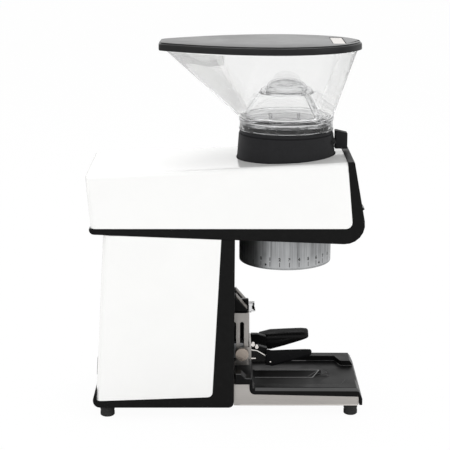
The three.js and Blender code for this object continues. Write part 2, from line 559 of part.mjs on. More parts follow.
// Rotor: hollow hub, pulley and upper burr
const upperBurrZ = burr.footZ + burr.height + burr.gap;
function rotorHub() {
  const flangeZ = upperBurrZ + burr.height + seat;
  const flangeRadius = burr.radius;
  const seatRadius = bearing.inner - 2 * seat;
  const shoulder = bearing.inner + bearing.race;
  const collarZ = bearing.upperZ + bearing.height + seat;
  return revolve([
    [hub.bore, flangeZ], [flangeRadius, flangeZ], [flangeRadius, flangeZ + hub.flange],
    [shoulder, flangeZ + hub.flange], [shoulder, bearing.lowerZ - seat], [seatRadius, bearing.lowerZ - seat],
    [seatRadius, collarZ], [bearing.inner + hub.collar, collarZ], [bearing.inner + hub.collar, hub.topZ],
    [hub.bore, hub.topZ],
  ]);
}
// Belt pulley: crowned rim between two flanges, with the bore given
function pulley(bore, radius) {
  const z0 = belt.midZ - belt.width / 2 - seat;
  const z1 = belt.midZ + belt.width / 2 + seat;
  const rim = radius - seat;
  return revolve([
    [bore, z0 - belt.flange], [rim + belt.flangeRise, z0 - belt.flange], [rim + belt.flangeRise, z0], [rim, z0],
    [rim, z1], [rim + belt.flangeRise, z1], [rim + belt.flangeRise, z1 + belt.flange], [bore, z1 + belt.flange],
  ]);
}
// Burr: ring with slanted cutting teeth on the face at z, pointing up (+1) or down (-1)
function cuttingBurr(footZ, facing) {
  const ringBody = tube(burr.bore, burr.radius, footZ, footZ + burr.height, fine);
  const faceZ = facing > 0 ? footZ + burr.height : footZ;
  const bevelDepth = burr.toothDepth * 2;
  const cone = revolve([
    [0, faceZ + facing * overrun], [burr.radius - overrun, faceZ + facing * overrun],
    [burr.radius - overrun, faceZ], [burr.bore, faceZ - facing * bevelDepth], [0, faceZ - facing * bevelDepth],
  ], fine);
  const tooth = solid(new THREE.CylinderGeometry(burr.toothDepth, burr.toothDepth, burr.radius, 4)
    .rotateZ(Math.PI / 2)).translate([burr.radius * 0.95, 0, faceZ]);
  const cuts = Array.from({ length: burr.teeth }, (_, i) =>
    turnZ(turnZ(tooth.translate([-burr.radius, 0, 0]), facing * burr.toothSkew).translate([burr.radius, 0, 0]),
      i * 360 / burr.teeth));
  return cutAll(ringBody.subtract(cone), cuts);
}

// Adjusting ring, burr carrier and outlet funnel below the head
function adjustingRing() {
  const inner = ring.radius - ring.wall;
  const sleeve = barrel.radius + seat * 2;
  return revolve([
    [inner, ring.footZ], [ring.radius, ring.footZ], [ring.radius, ring.topZ], [sleeve, ring.topZ],
    [sleeve, ring.sleeveFootZ], [sleeve + ring.sleeveWall, ring.sleeveFootZ],
    [sleeve + ring.sleeveWall, ring.topZ - ring.web], [inner, ring.topZ - ring.web],
  ], fine);
}
function burrCarrier() {
  const sleeveOuter = barrel.bore - seat;
  const top = burr.footZ - seat;
  const sleeve = revolve([
    [carrier.sleeve, carrier.threadFootZ], [barrel.radius, carrier.threadFootZ],
    [barrel.radius, carrier.threadTopZ], [sleeveOuter, carrier.threadTopZ], [sleeveOuter, top],
    [carrier.sleeve, top],
  ]);
  const disc = revolve([
    [0, top - carrier.disc * 2], [burr.bore, top - carrier.disc * 2], [burr.radius, top - carrier.disc],
    [burr.radius, top], [burr.bore - seat, top], [burr.bore - seat, top + carrier.disc],
    [0, top + carrier.disc * 3],
  ]);
  const arms = Array.from({ length: carrier.arms }, (_, i) => turnZ(block(burr.bore, (carrier.sleeve + barrel.bore) / 2,
    -carrier.armWidth / 2, carrier.armWidth / 2, top - carrier.disc * 2, top - carrier.disc / 2),
  i * 360 / carrier.arms));
  return joinAll([sleeve, disc, ...arms]);
}
function outletFunnel() {
  const rimRadius = barrel.radius - ring.sleeveWall;
  const top = carrier.threadFootZ - seat;
  const { wall, spout, spoutTopZ, spoutFootZ } = funnel;
  return revolve([
    [spout - wall, spoutFootZ], [spout, spoutFootZ], [spout, spoutTopZ], [rimRadius, top - wall], [rimRadius, top],
    [carrier.sleeve, top], [spout - wall, spoutTopZ + wall / 2],
  ]);
}

// Feed throat: funnel from under the collar's deck into the hollow hub
function feedThroat() {
  const { rimRadius, rimZ, waistZ, outletRadius, wall, footZ } = throat;
  const ledge = bridge.plateZ + bridge.plate + seat;
  return revolve([
    [outletRadius, footZ], [outletRadius + wall, footZ], [outletRadius + wall, ledge],
    [bearing.outer, ledge], [bearing.outer, ledge + wall], [outletRadius + wall * 2, ledge + wall],
    [rimRadius, waistZ + overrun], [rimRadius, rimZ],
    [rimRadius - wall, rimZ], [rimRadius - wall, waistZ + overrun], [outletRadius, waistZ - overrun / 2],
  ], loose);
}

// Motor, its shaft, fan and mount
const motorFootZ = motor.topZ - motor.height;
function motorBody() {
  const { radius, topZ, bell, bellInset, boss, bossHeight, shaft } = motor;
  const core = revolve([
    [shaft + running, motorFootZ], [radius - bellInset * 2, motorFootZ], [radius - bellInset, motorFootZ + bell / 3],
    [radius - bellInset, motorFootZ + bell], [radius, motorFootZ + bell], [radius, topZ - bell],
    [radius - bellInset, topZ - bell], [radius - bellInset, topZ], [boss, topZ], [boss, topZ + bossHeight],
    [shaft + running, topZ + bossHeight],
  ], loose);
  const rib = block(radius - motor.ribDepth, radius + motor.ribDepth, -motor.rib / 2, motor.rib / 2,
    motorFootZ + bell, topZ - bell);
  return joinAll([core, ...Array.from({ length: motor.ribs }, (_, i) => turnZ(rib, i * 360 / motor.ribs))]);
}
function motorMount() {
  const half = motor.padHalf;
  return planPrism(rectangle(-half, half, -half, half, motor.padRadius), motor.topZ + seat, motor.padZ - seat)
    .subtract(rod(motor.boss + seat, motor.topZ - overrun, motor.padZ + overrun, loose));
}
function motorShaft() {
  const top = belt.midZ + belt.width / 2 + belt.flange + overrun;
  const flat = block(motor.shaft * 0.8, motor.shaft * 2, -motor.shaft, motor.shaft, top - overrun, top + overrun);
  return rod(motor.shaft, motorFootZ - motor.tail, top).subtract(flat);
}
function coolingFan() {
  const z1 = motorFootZ - running * 2;
  const z0 = z1 - motor.fanHeight;
  const plate = tube(motor.shaft + seat, motor.fanRadius, z1 - motor.fanPlate, z1, loose);
  const hubTube = tube(motor.shaft + seat, motor.fanHub, z0, z1, small);
  const blade = turnZ(block(motor.fanHub - motor.fanPlate / 2, motor.fanRadius, -motor.fanPlate / 2,
    motor.fanPlate / 2, z0, z1 - seat), motor.fanPitch);
  return joinAll([plate, hubTube, ...Array.from({ length: motor.fanBlades }, (_, i) =>
    turnZ(blade, i * 360 / motor.fanBlades))]);
}
// Flat belt: a loop round both pulleys, cut from the outer loop by the inner one
function driveBelt() {
  const loop = (grow) => {
    const wide = belt.rotorPulley + grow;
    const narrow = belt.motorPulley + grow;
    const slant = Math.asin((wide - narrow) / (burrX - motorX));
    const arc = (x, radius, from, to, count) => Array.from({ length: count + 1 }, (_, i) => {
      const angle = from + (to - from) * i / count;
      return [x + radius * Math.cos(angle), radius * Math.sin(angle)];
    });
    return outline([
      ...arc(burrX, wide, -Math.PI / 2 - slant, Math.PI / 2 + slant, plain),
      ...arc(motorX, narrow, Math.PI / 2 + slant, 3 * Math.PI / 2 - slant, plain * 0.75),
    ]);
  };
  const z0 = belt.midZ - belt.width / 2;
  return planPrism(loop(belt.thickness), z0, z0 + belt.width)
    .subtract(planPrism(loop(0), z0 - overrun, z0 + belt.width + overrun));
}
function startCapacitor() {
  const { radius, height, edge, terminal, terminalHeight } = capacitor;
  const can = revolve([[0, 0], [radius - edge, 0], [radius, edge], [radius, height - edge],
    [radius - edge, height], [0, height]], loose);
  const tabs = [-1, 1].map((side) => block(-terminal, terminal, side * terminal * 3 - 0.5 * terminal,
    side * terminal * 3 + 0.5 * terminal, height - edge, height + terminalHeight));
  return joinAll([can, ...tabs]);
}

// Hopper collar with its deck and gate slot, the gate and its grip
function hopperCollar() {
  const { topRadius, taper, footZ, height, wall, seamDrop, seam, deck: deckWall, spout } = collar;
  const radiusAt = (z) => topRadius + taper * (collarTopZ - z) / height;
  const inner = topRadius - wall;
  const seamZ = collarTopZ - seamDrop;
  const spoutFootZ = deckZ - collar.spoutDrop;
  const body = revolve([
    [inner, footZ], [collarFootRadius, footZ], [radiusAt(seamZ), seamZ], [radiusAt(seamZ) - seam, seamZ],
    [radiusAt(seamZ) - seam, seamZ + seam], [radiusAt(seamZ + seam), seamZ + seam], [topRadius, collarTopZ],
    [inner, collarTopZ], [inner, deckZ + deckWall], [neck.spigot, deckZ + deckWall], [neck.spigot, spoutFootZ],
    [spout, spoutFootZ], [spout, deckZ], [inner, deckZ],
  ], fine);
  const slotZ = deckZ + deckWall;
  return body.subtract(block(inner - overrun * 2, collarFootRadius + overrun, -gate.width / 2 - gate.slotPlay,
    gate.width / 2 + gate.slotPlay, slotZ + gate.lift - gate.slotPlay / 2,
    slotZ + gate.lift + gate.thickness + gate.slotPlay));
}
const gateZ = deckZ + collar.deck + gate.lift;
const gripBackX = burrX + collar.topRadius + gate.gripGap;
function gateSlide() {
  const frontX = gripBackX - burrX - seat;
  const half = gate.width / 2;
  return planPrism(outline([
    [frontX, -half, gate.cornerRadius], [frontX, half, gate.cornerRadius], [0, half],
    [-half, half, half * 0.98], [-half, -half, half * 0.98], [0, -half],
  ], 8), gateZ, gateZ + gate.thickness);
}
function gateGrip() {
  const frontX = gripBackX + gate.gripLength;
  const footZ = deckZ - collar.spoutDrop;
  return sidePrism(outline([
    [gripBackX, footZ], [frontX, footZ, gate.gripRadius], [frontX, footZ + gate.gripFront, gate.gripRadius],
    [gripBackX + gate.gripRadius * 2, footZ + gate.gripBack], [gripBackX, footZ + gate.gripBack],
  ]), -gate.gripWidth / 2, gate.gripWidth / 2, gate.gripEdge);
}

// Hopper: neck with its funnel, eccentric bowl lofted from a circle to the lid's outline, and the bean guard
function hopperNeck() {
  const { wall, spigot, spigotDrop, funnelRise } = neck;
  const inner = collar.topRadius - collar.wall - seat;
  const spigotFootZ = collarTopZ - spigotDrop;
  return revolve([
    [spigot - wall - seat, spigotFootZ], [spigot - seat, spigotFootZ],
    [spigot - seat, deckZ + collar.deck + overrun * 2], [inner - wall, collarTopZ - overrun],
    [inner, collarTopZ - overrun], [inner, collarTopZ + seat], [neckRadius, collarTopZ + seat],
    [neckRadius, neckTopZ], [neckRadius - wall, neckTopZ], [neckRadius - wall, collarTopZ + funnelRise + wall],
    [spigot - wall - seat, collarTopZ - overrun * 2],
  ], fine);
}
// Outline of the lid or of the bowl's rim, grown by a distance: a smooth curve through the shares and their mirror
function lidCurve({ rearX, frontX, halfWidth: half = lid.halfWidth - bowl.inside }, grow, count) {
  const length = frontX - rearX;
  const side = lidShares.map(([along, across]) => [
    rearX - grow + along * (length + 2 * grow), across * (half + grow)]);
  const points = [...side.map(([x, y]) => new THREE.Vector3(x, -y, 0)),
    ...side.reverse().map(([x, y]) => new THREE.Vector3(x, y, 0))];
  return new THREE.CatmullRomCurve3(points, true, 'centripetal').getPoints(count).slice(0, count);
}
// Bowl's outer skin moved in by an inset: from a circle round the burr axis to the rim's outline
function bowlSolid(inset, z0, z1) {
  const rim = lidCurve(bowl, -inset, 12 * fine);
  const spacing = Math.round(rim.length / bowl.facets);
  const corners = rim.filter((point, i) => i % spacing === 0);
  const section = (z) => {
    const share = Math.min((z - neckTopZ) / bowl.height, 1);
    return corners.map(({ x, y }) => {
      const round = new THREE.Vector2(x - burrX, y).setLength(neckRadius - bowl.footInside - inset);
      return new THREE.Vector3(burrX + round.x, round.y, z).lerp(new THREE.Vector3(x, y, z), share);
    });
  };
  return solid(new LoftGeometry([section(z0), section(rimZ), section(z1)], { capStart: true, capEnd: true }));
}
function hopperBowl() {
  const top = lidTopZ - lid.plate - seat;
  return bowlSolid(0, neckTopZ + seat, top).subtract(bowlSolid(bowl.wall, neckTopZ - overrun / 2, top + overrun));
}
// Bean guard: three sloping legs on a foot ring, carrying a band and a shallow dome
function beanGuard() {
  const { wall, legHalf, legAngle } = guard;
  const footRadius = neckRadius - guard.footInside;
  const shoulderRadius = footRadius - guard.slope;
  const domeRadius = shoulderRadius - guard.ledge;
  const [footZ, bandZ, shoulderZ, domeZ, peakZ] = [
    guard.foot, guard.band, guard.shoulder, guard.dome, guard.peak].map((rise) => neckTopZ + rise);
  const dome = (grow) => Array.from({ length: 4 }, (_, i) => {
    const angle = i * Math.PI / 8;
    return [(domeRadius - grow) * Math.cos(angle), domeZ + (peakZ - domeZ - grow) * Math.sin(angle)];
  });
  const shell = revolve([
    [footRadius - wall, footZ], [footRadius, footZ], [shoulderRadius, shoulderZ], ...dome(0), [0, peakZ],
    [0, peakZ - wall], ...dome(wall).reverse(), [shoulderRadius - wall, shoulderZ],
  ], loose);
  const legs = [-legAngle, legAngle, 180].map((angle) =>
    turnZ(block(0, footRadius + overrun, -legHalf, legHalf, footZ, shoulderZ), angle));
  const windows = rod(footRadius + overrun, footZ - overrun, bandZ, loose).subtract(joinAll(legs));
  const ringFoot = tube(footRadius - 2 * wall, neckRadius - neck.wall - 5 * seat, footZ, footZ + wall, loose);
  const lug = block(domeRadius * 0.7, shoulderRadius + guard.lug, -legHalf / 2, legHalf / 2, bandZ - wall, bandZ);
  return joinAll([shell.subtract(windows), ringFoot, lug]);
}

// Lid: a shallow shell with a rounded edge and a bare recess for a plate
function lidBody(size, grow, z0, z1, bevel) {
  const shape = new THREE.Shape(lidCurve(size, grow, lid.facets).map((point) => new THREE.Vector2(point.x, point.y)));
  return planPrism(shape, z0, z1, bevel, 2);
}
function hopperLid() {
  const shell = lidBody(lid, 0, lidFootZ - lid.edge, lidTopZ, lid.edge)
    .subtract(block(lid.rearX - overrun, lid.frontX + overrun, -lid.halfWidth - overrun, lid.halfWidth + overrun,
      lidFootZ - overrun * 2, lidFootZ))
    .subtract(lidBody(lid, -lid.skirt, lidFootZ - overrun, lidTopZ - lid.plate, 0));
  const inside = -bowl.wall - running;
  const under = lidTopZ - lid.plate;
  const tongue = lidBody(bowl, inside, under - lid.tongueDrop, under + lid.plate / 2, 0)
    .subtract(lidBody(bowl, inside - lid.tongue, under - lid.tongueDrop - overrun, under, 0));
  const recess = planPrism(badgeOutline(0), lidTopZ - lid.badgeDepth, lidTopZ + overrun);
  return shell.add(tongue).subtract(recess);
}
function badgeOutline(gap) {
  const frontX = lid.frontX - lid.badgeFrontGap;
  return rectangle(frontX - lid.badgeLength + gap, frontX - gap, -lid.badgeHalf + gap, lid.badgeHalf - gap,
    lid.badgeRadius);
}
const lidPlate = () => planPrism(badgeOutline(seat), lidTopZ - lid.badgeDepth + seat, lidTopZ - lid.badgeProud);

// Fork bracket, fork carriage, arms, sleeves and clamp knobs
function forkBracket() {
  const { halfWidth: half, footZ, topZ, rearX, frontX, sheet: t, slotX, slotWidth, slotTopZ, slotFootZ, bend } = bracket;
  const channel = (grow, back) => planPrism(outline([
    [back, -half + grow], [frontX - grow, -half + grow, bend - grow], [frontX - grow, half - grow, bend - grow],
    [back, half - grow],
  ]), footZ - (grow ? overrun : 0), topZ + (grow ? overrun : 0));
  const slot = (x) => sidePrism(rectangle(x - slotWidth / 2, x + slotWidth / 2, slotFootZ, slotTopZ,
    slotWidth * 0.499), -half - overrun, half + overrun);
  const notch = block(slotX, frontX + overrun, -bracket.notchHalf, bracket.notchHalf, bracket.notchFootZ, topZ + overrun);
  return cutAll(channel(0, rearX), [channel(t, rearX - overrun), slot(slotX), slot(bracket.backSlotX), notch]);
}
function forkCarriage() {
  const outer = bracket.halfWidth + seat + fork.yoke;
  const frontX = bracket.frontX + seat + fork.yoke;
  const yoke = block(fork.yokeRearX, frontX, -outer, outer, fork.yokeFootZ, fork.yokeTopZ)
    .subtract(block(fork.yokeRearX - overrun, frontX - fork.yoke, -outer + fork.yoke, outer - fork.yoke,
      fork.yokeFootZ - overrun, fork.yokeTopZ + overrun));
  const plate = sidePrism(outline([
    [frontX - fork.yoke, fork.plateTop], [fork.plateMidX, fork.plateMidZ], [fork.plateTipX, fork.plateTipZ],
    [fork.plateNoseX, fork.plateNoseZ], [fork.plateFootX, fork.plateFootZ], [frontX - fork.yoke, fork.yokeFootZ],
  ]), outer - fork.yoke, outer);
  const screws = rodY(knob.shank + seat, -outer - overrun, outer + overrun, bracket.slotX, fork.knobZ);
  return joinAll([yoke, plate, mirrorY(plate)]).subtract(screws);
}
function forkSlider() {
  const { rearX, footZ, topZ, play } = fork.slider;
  const half = bracket.halfWidth - bracket.sheet - play;
  const front = bracket.frontX - bracket.sheet - play;
  const screws = rodY(knob.shank + seat, -half - overrun, half + overrun, bracket.slotX, fork.knobZ);
  const { ribHalf, ribFrontX } = column.niche;
  return block(rearX, front, -half, half, footZ, topZ)
    .subtract(block(rearX + fork.yoke * 2, front - fork.yoke * 4, -half + fork.yoke * 3, half - fork.yoke * 3,
      footZ - overrun, topZ + overrun))
    .subtract(block(rearX - overrun, ribFrontX + running / 2, -ribHalf - running / 2, ribHalf + running / 2,
      footZ - overrun, topZ + overrun))
    .subtract(screws);
}
function forkArm() {
  const x0 = bracket.frontX + seat + fork.yoke + seat;
  return sidePrism(outline([
    [x0, fork.plateFootZ + overrun], [fork.plateFootX + overrun, fork.plateFootZ + seat], [fork.armFrontX, fork.plateNoseZ],
    [fork.armFrontX, fork.armFrontTopZ, fork.armRadius], [fork.armFootX + fork.yoke, fork.armTopZ, fork.armRadius],
    [x0, fork.armTopZ],
  ]), fork.armInner, bracket.halfWidth, fork.armEdge);
}
function forkSleeve() {
  const { sleeveInner: y0, sleeveOuter: y1, cradleRise: rise, sleeveRadius } = fork;
  const section = ([x, low, high, shrink]) => {
    const r = Math.min(sleeveRadius, (high - low) / 2.2);
    const corners = [[y0 + shrink, low], [y1 - shrink, low], [y1 - shrink, high], [y0 + shrink, high]];
    const signs = [[1, 1], [-1, 1], [-1, -1], [1, -1]];
    return corners.flatMap(([y, z], i) => Array.from({ length: 4 }, (_, k) => {
      const angle = Math.PI + i * Math.PI / 2 + k * Math.PI / 6;
      const px = y + signs[i][0] * r + r * Math.cos(angle);
      const pz = z + signs[i][1] * r + r * Math.sin(angle);
      const lean = (px - y1) / (y1 - y0) * rise * (pz - low) / (high - low);
      return new THREE.Vector3(x, px, pz + lean);
    }));
  };
  const plateInner = bracket.halfWidth;
  const plateSlot = block(fork.yokeRearX, fork.plateNoseX + seat, plateInner, plateInner + fork.yoke + 2 * seat,
    fork.plateNoseZ - overrun, fork.plateTop + overrun);
  const sections = sleeveStations.map(section);
  return solid(new LoftGeometry(sections, { capStart: true, capEnd: true })).subtract(plateSlot);
}
// Clamp knob for the side y > 0: knurled head outside the yoke, with a shank into the slider
function clampKnob() {
  const y0 = bracket.halfWidth + 2 * seat + fork.yoke;
  const { radius, head: depth, shank, collarRadius, collar: collarDepth, knurls, knurl } = knob;
  const stem = revolve([
    [0, bracket.halfWidth - bracket.sheet - fork.yoke * 2], [shank, bracket.halfWidth - bracket.sheet - fork.yoke * 2],
    [shank, y0], [collarRadius, y0], [collarRadius, y0 + 2 * collarDepth], [0, y0 + 2 * collarDepth],
  ], small);
  const rim = Array.from({ length: 2 * knurls }, (_, i) => {
    const angle = i * Math.PI / knurls;
    const reach = radius - (i % 2) * knurl;
    return [reach * Math.cos(angle), reach * Math.sin(angle)];
  });
  return stem.add(planPrism(outline(rim), y0 + collarDepth, y0 + depth)).rotate([-90, 0, 0]);
}

// Trigger: housing with a sloped cover, and the sprung lever with its two-pronged clip
function triggerOutline(t) {
  const rearX = column.front.x - column.niche.depth + seat;
  return outline([
    [rearX + t, bracket.topZ + seat + t], [trigger.noseX - t, bracket.topZ + seat + t, Math.max(trigger.radius - t, 0)],
    [trigger.noseX - t, trigger.noseTopZ - t], [column.front.x, trigger.topZ - t], [rearX + t, trigger.topZ - t],
  ]);
}
function triggerHousing() {
  const { halfWidth: half, cover } = trigger;
  const whole = sidePrism(triggerOutline(0), -half, half, trigger.edge);
  const hollow = sidePrism(triggerOutline(cover), -half + cover, half - cover);
  const slotHalf = trigger.leverHalf + trigger.slot;
  const slot = block(trigger.leverRearX - overrun * 2, trigger.noseX + overrun, -slotHalf, slotHalf,
    trigger.leverFootZ, trigger.topZ + overrun);
  return whole.subtract(hollow).subtract(slot);
}
function triggerLever() {
  const { leverHalf: half, leverRearX, leverFrontX, leverTopZ, leverFootZ, pivotX, pivotZ, pinRadius } = trigger;
  const blade = sidePrism(outline([
    [pivotX - pinRadius * 2, pivotZ - pinRadius * 2, pinRadius], [leverRearX, pivotZ - pinRadius * 2],
    [leverFrontX - 3 * pinRadius, leverFootZ + pinRadius * 4], [leverFrontX - 2 * pinRadius, leverFootZ, pinRadius / 2],
    [leverFrontX, leverFootZ, pinRadius / 2], [leverFrontX, leverTopZ, pinRadius],
    [leverRearX + pinRadius, leverTopZ, pinRadius], [leverRearX, pivotZ + pinRadius * 1.5],
    [pivotX - pinRadius * 2, pivotZ + pinRadius * 1.5, pinRadius],
  ]), -half, half);
  const pin = rodY(pinRadius, -trigger.halfWidth + trigger.cover + seat, trigger.halfWidth - trigger.cover - seat,
    pivotX, pivotZ);
  return blade.add(pin);
}
function triggerClip() {
  const { leverHalf, leverFrontX, clipLength, clipTopZ, clipFootZ, clip, clipRadius: radius } = trigger;
  const x0 = leverFrontX + seat;
  const x1 = x0 + clipLength;
  const mid = (clipTopZ + clipFootZ) / 2;
  return sidePrism(outline([
    [x0, clipFootZ], [x0 + clip, clipFootZ], [x1 + clip / 2, clipFootZ + clip, radius],
    [x1 + clip / 2, clipFootZ + 2 * clip, radius], [x1 - 1.5 * clip, mid], [x1, clipTopZ - clip, radius],
    [x1, clipTopZ, radius], [x0, clipTopZ],
  ]), -leverHalf * 2, leverHalf * 2, trigger.clipEdge, 1);
}

// Controls on the front panel and the mains parts in the rear wall
const displayGlass = () => onPanel(frontPrism(rectangle(-panel.windowHalf + seat, panel.windowHalf - seat,
  -panel.windowHeight / 2 + seat, panel.windowHeight / 2 - seat, panel.windowRadius),
-panel.glass - panel.recess + seat, -panel.recess), panel.windowZ);
const menuKey = (side) => onPanel(solid(new THREE.CylinderGeometry(panel.keyRadius, panel.keyRadius,
  panel.keyDepth + panel.keyProud, plain).rotateZ(Math.PI / 2))
  .translate([(panel.keyProud - panel.keyDepth) / 2, side * panel.keyPitch / 2, 0]), panel.keyZ);
function controlBoard() {
  const { boardBack, boardThickness, boardHalf, boardHeight, boardZ, standoff, standoffInset: inset } = panel;
  const plate = block(-boardBack - boardThickness, -boardBack, -boardHalf, boardHalf, -boardHeight / 2, boardHeight / 2);
  const posts = [-1, 1].flatMap((side) => [-1, 1].map((end) => {
    const y = side * (boardHalf - inset);
    const z = end * (boardHeight / 2 - inset);
    return block(-boardBack - boardThickness / 2, -casting - seat, y - standoff, y + standoff, z - standoff, z + standoff);
  }));
  return onPanel(joinAll([plate, ...posts]), boardZ);
}
function startKeyBody() {
  const { z, halfWidth: half, height, tipX, depth, proud, edge } = startKey;
  const low = z - height / 2;
  const high = z + height / 2;
  const face = (at) => xAt(head.front, at);
  return sidePrism(outline([
    [face(low) - depth, low], [face(low) + proud, low], [tipX, z - height / 8], [face(high) + proud, high],
    [face(high) - depth, high],
  ]), -half, half, edge, 1);
}
function powerInlet() {
  const x = xAt(column.coverRear, inlet.z);
  const { y, z, halfWidth: half, height, flangeHalf, flangeHeight, flange, depth, pin } = inlet;
  const body = block(x - flange / 2, x + depth, y - half, y + half, z - height / 2, z + height / 2);
  const rim = block(-flange - seat, -seat, y - flangeHalf, y + flangeHalf, -flangeHeight / 2, flangeHeight / 2)
    .rotate([0, THREE.MathUtils.radToDeg(Math.atan(-column.coverRear.t)), 0]).translate([x, 0, z]);
  const socket = block(x - overrun, x + depth - flange * 2, y - half + flange, y + half - flange,
    z - height / 2 + flange, z + height / 2 - flange);
  const pins = [-1, 0, 1].map((side) => block(x + flange, x + depth - flange, y + side * half / 2 - pin / 2,
    y + side * half / 2 + pin / 2, z - pin * 1.2, z + pin * 1.2));
  return joinAll([body.add(rim).subtract(socket), ...pins]);
}
function switchFrame() {
  const x = xAt(column.coverRear, rocker.z);
  const { y, z, halfWidth: half, height, depth, frame: wall, border } = rocker;
  const body = block(x - wall, x + depth, y - half, y + half, z - height / 2, z + height / 2);
  const rim = block(-wall - seat, -seat, y - half - border, y + half + border, -height / 2 - border, height / 2 + border)
    .rotate([0, THREE.MathUtils.radToDeg(Math.atan(-column.coverRear.t)), 0]).translate([x, 0, z]);
  const hollow = block(x - overrun * 2, x + depth - wall, y - half + wall, y + half - wall,
    z - height / 2 + wall, z + height / 2 - wall);
  return body.add(rim).subtract(hollow);
}
function rockerKey() {
  const { y, halfWidth: half, height, frame: wall, play, tilt, proud, depth, radius } = rocker;
  const halfHeight = height / 2 - wall - play * 3;
  const horn = -proud - tan(tilt) * halfHeight;
  const shape = outline([
    [-proud, 0], [horn, halfHeight, radius], [depth / 3, halfHeight * 0.6], [depth / 2, 0],
    [depth / 3, -halfHeight * 0.6], [horn, -halfHeight, radius],
  ]);
  return sidePrism(shape, y - half + wall + play, y + half - wall - play)
    .rotate([0, tilt, 0]).translate([xAt(column.coverRear, rocker.z), 0, rocker.z]);
}

// Assembly: housings and frames
part('head_frame', headFrame(), blackSatin);
part('head_cover', headCover(), whitePaint);
part('column_frame', columnFrame(), blackSatin);
part('column_cover', columnCover(), whitePaint);
part('base_plate', basePlate(), stainless);
part('drip_tray', dripTray(), blackSatin);
[['front_left', feet.frontX, 1, feet.frontY, feet.frontRadius, base.footZ],
  ['front_right', feet.frontX, -1, feet.frontY, feet.frontRadius, base.footZ],
  ['rear_left', feet.rearX, 1, feet.rearY, feet.rearRadius, column.foot.z],
  ['rear_right', feet.rearX, -1, feet.rearY, feet.rearRadius, column.foot.z],
].forEach(([place, x, side, y, radius, seatZ]) =>
  part(`foot_${place}`, foot(radius, seatZ - seat), rubber, groupAt(x, side * y)));

// Assembly: what lies round the burr axis
const burrAxis = groupAt(burrX);
part('grinding_chamber', grindingChamber(), castAlloy, burrAxis);
part('bearing_bridge', bearingBridge(), castAlloy, burrAxis);
part('lower_bearing', bearingBody(bearing.lowerZ), hardSteel, burrAxis);
part('upper_bearing', bearingBody(bearing.upperZ), hardSteel, burrAxis);
part('rotor_hub', rotorHub(), hardSteel, burrAxis);
part('rotor_pulley', pulley(bearing.inner + seat / 2, belt.rotorPulley), castAlloy, burrAxis);
part('upper_burr', cuttingBurr(upperBurrZ, -1), hardSteel, burrAxis);
part('lower_burr', cuttingBurr(burr.footZ, 1), hardSteel, burrAxis);
part('burr_carrier', burrCarrier(), castAlloy, burrAxis);
part('outlet_funnel', outletFunnel(), blackSatin, burrAxis);
part('adjusting_ring', adjustingRing(), brushed, burrAxis);
part('feed_throat', feedThroat(), blackSatin, burrAxis);
part('hopper_collar', hopperCollar(), blackMatte, burrAxis);
part('hopper_neck', hopperNeck(), clear, burrAxis);
part('bean_guard', beanGuard(), clear, burrAxis);
part('gate_slide', gateSlide(), stainless, burrAxis);
part('gate_grip', gateGrip(), blackMatte);
part('hopper_bowl', hopperBowl(), clear);
part('hopper_lid', hopperLid(), greyLid);
part('lid_plate', lidPlate(), greyLid);

// Assembly: motor and belt
const motorAxis = groupAt(motorX);
part('motor_body', motorBody(), castAlloy, motorAxis);
part('motor_mount', motorMount(), stainless, motorAxis);
part('motor_shaft', motorShaft(), hardSteel, motorAxis);
part('motor_pulley', pulley(motor.shaft + seat, belt.motorPulley), castAlloy, motorAxis);
part('cooling_fan', coolingFan(), blackSatin, motorAxis);
part('drive_belt', driveBelt(), rubber);
part('start_capacitor', startCapacitor(), castAlloy,
  groupAt(capacitor.x, capacitor.y, column.foot.z + casting + seat));

// Assembly: fork, trigger, controls and mains parts
part('fork_bracket', forkBracket(), stainless);
part('fork_slider', forkSlider(), castAlloy);
part('fork_carriage', forkCarriage(), stainless);
const knobAxis = groupAt(bracket.slotX, 0, fork.knobZ);
[['left', (body) => body], ['right', mirrorY]].forEach(([side, place]) => {
  part(`fork_arm_${side}`, place(forkArm()), blackSatin);
  part(`fork_sleeve_${side}`, place(forkSleeve()), blackMatte);
  part(`clamp_knob_${side}`, place(clampKnob()), nickel, knobAxis);
});
part('trigger_housing', triggerHousing(), blackSatin);
part('trigger_lever', triggerLever(), blackSatin);
part('trigger_clip', triggerClip(), clear);
part('display_glass', displayGlass(), darkGlass);
part('control_board', controlBoard(), greenBoard);
part('menu_key_left', menuKey(1), stainless);
part('menu_key_right', menuKey(-1), stainless);
part('start_key', startKeyBody(), blackSatin);
part('power_inlet', powerInlet(), blackSatin);
part('switch_frame', switchFrame(), blackSatin);
part('power_rocker', rockerKey(), blackSatin);

export default grinder;
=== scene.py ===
import json
import math
from contextlib import contextmanager

import bmesh
import bpy
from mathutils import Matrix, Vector, geometry

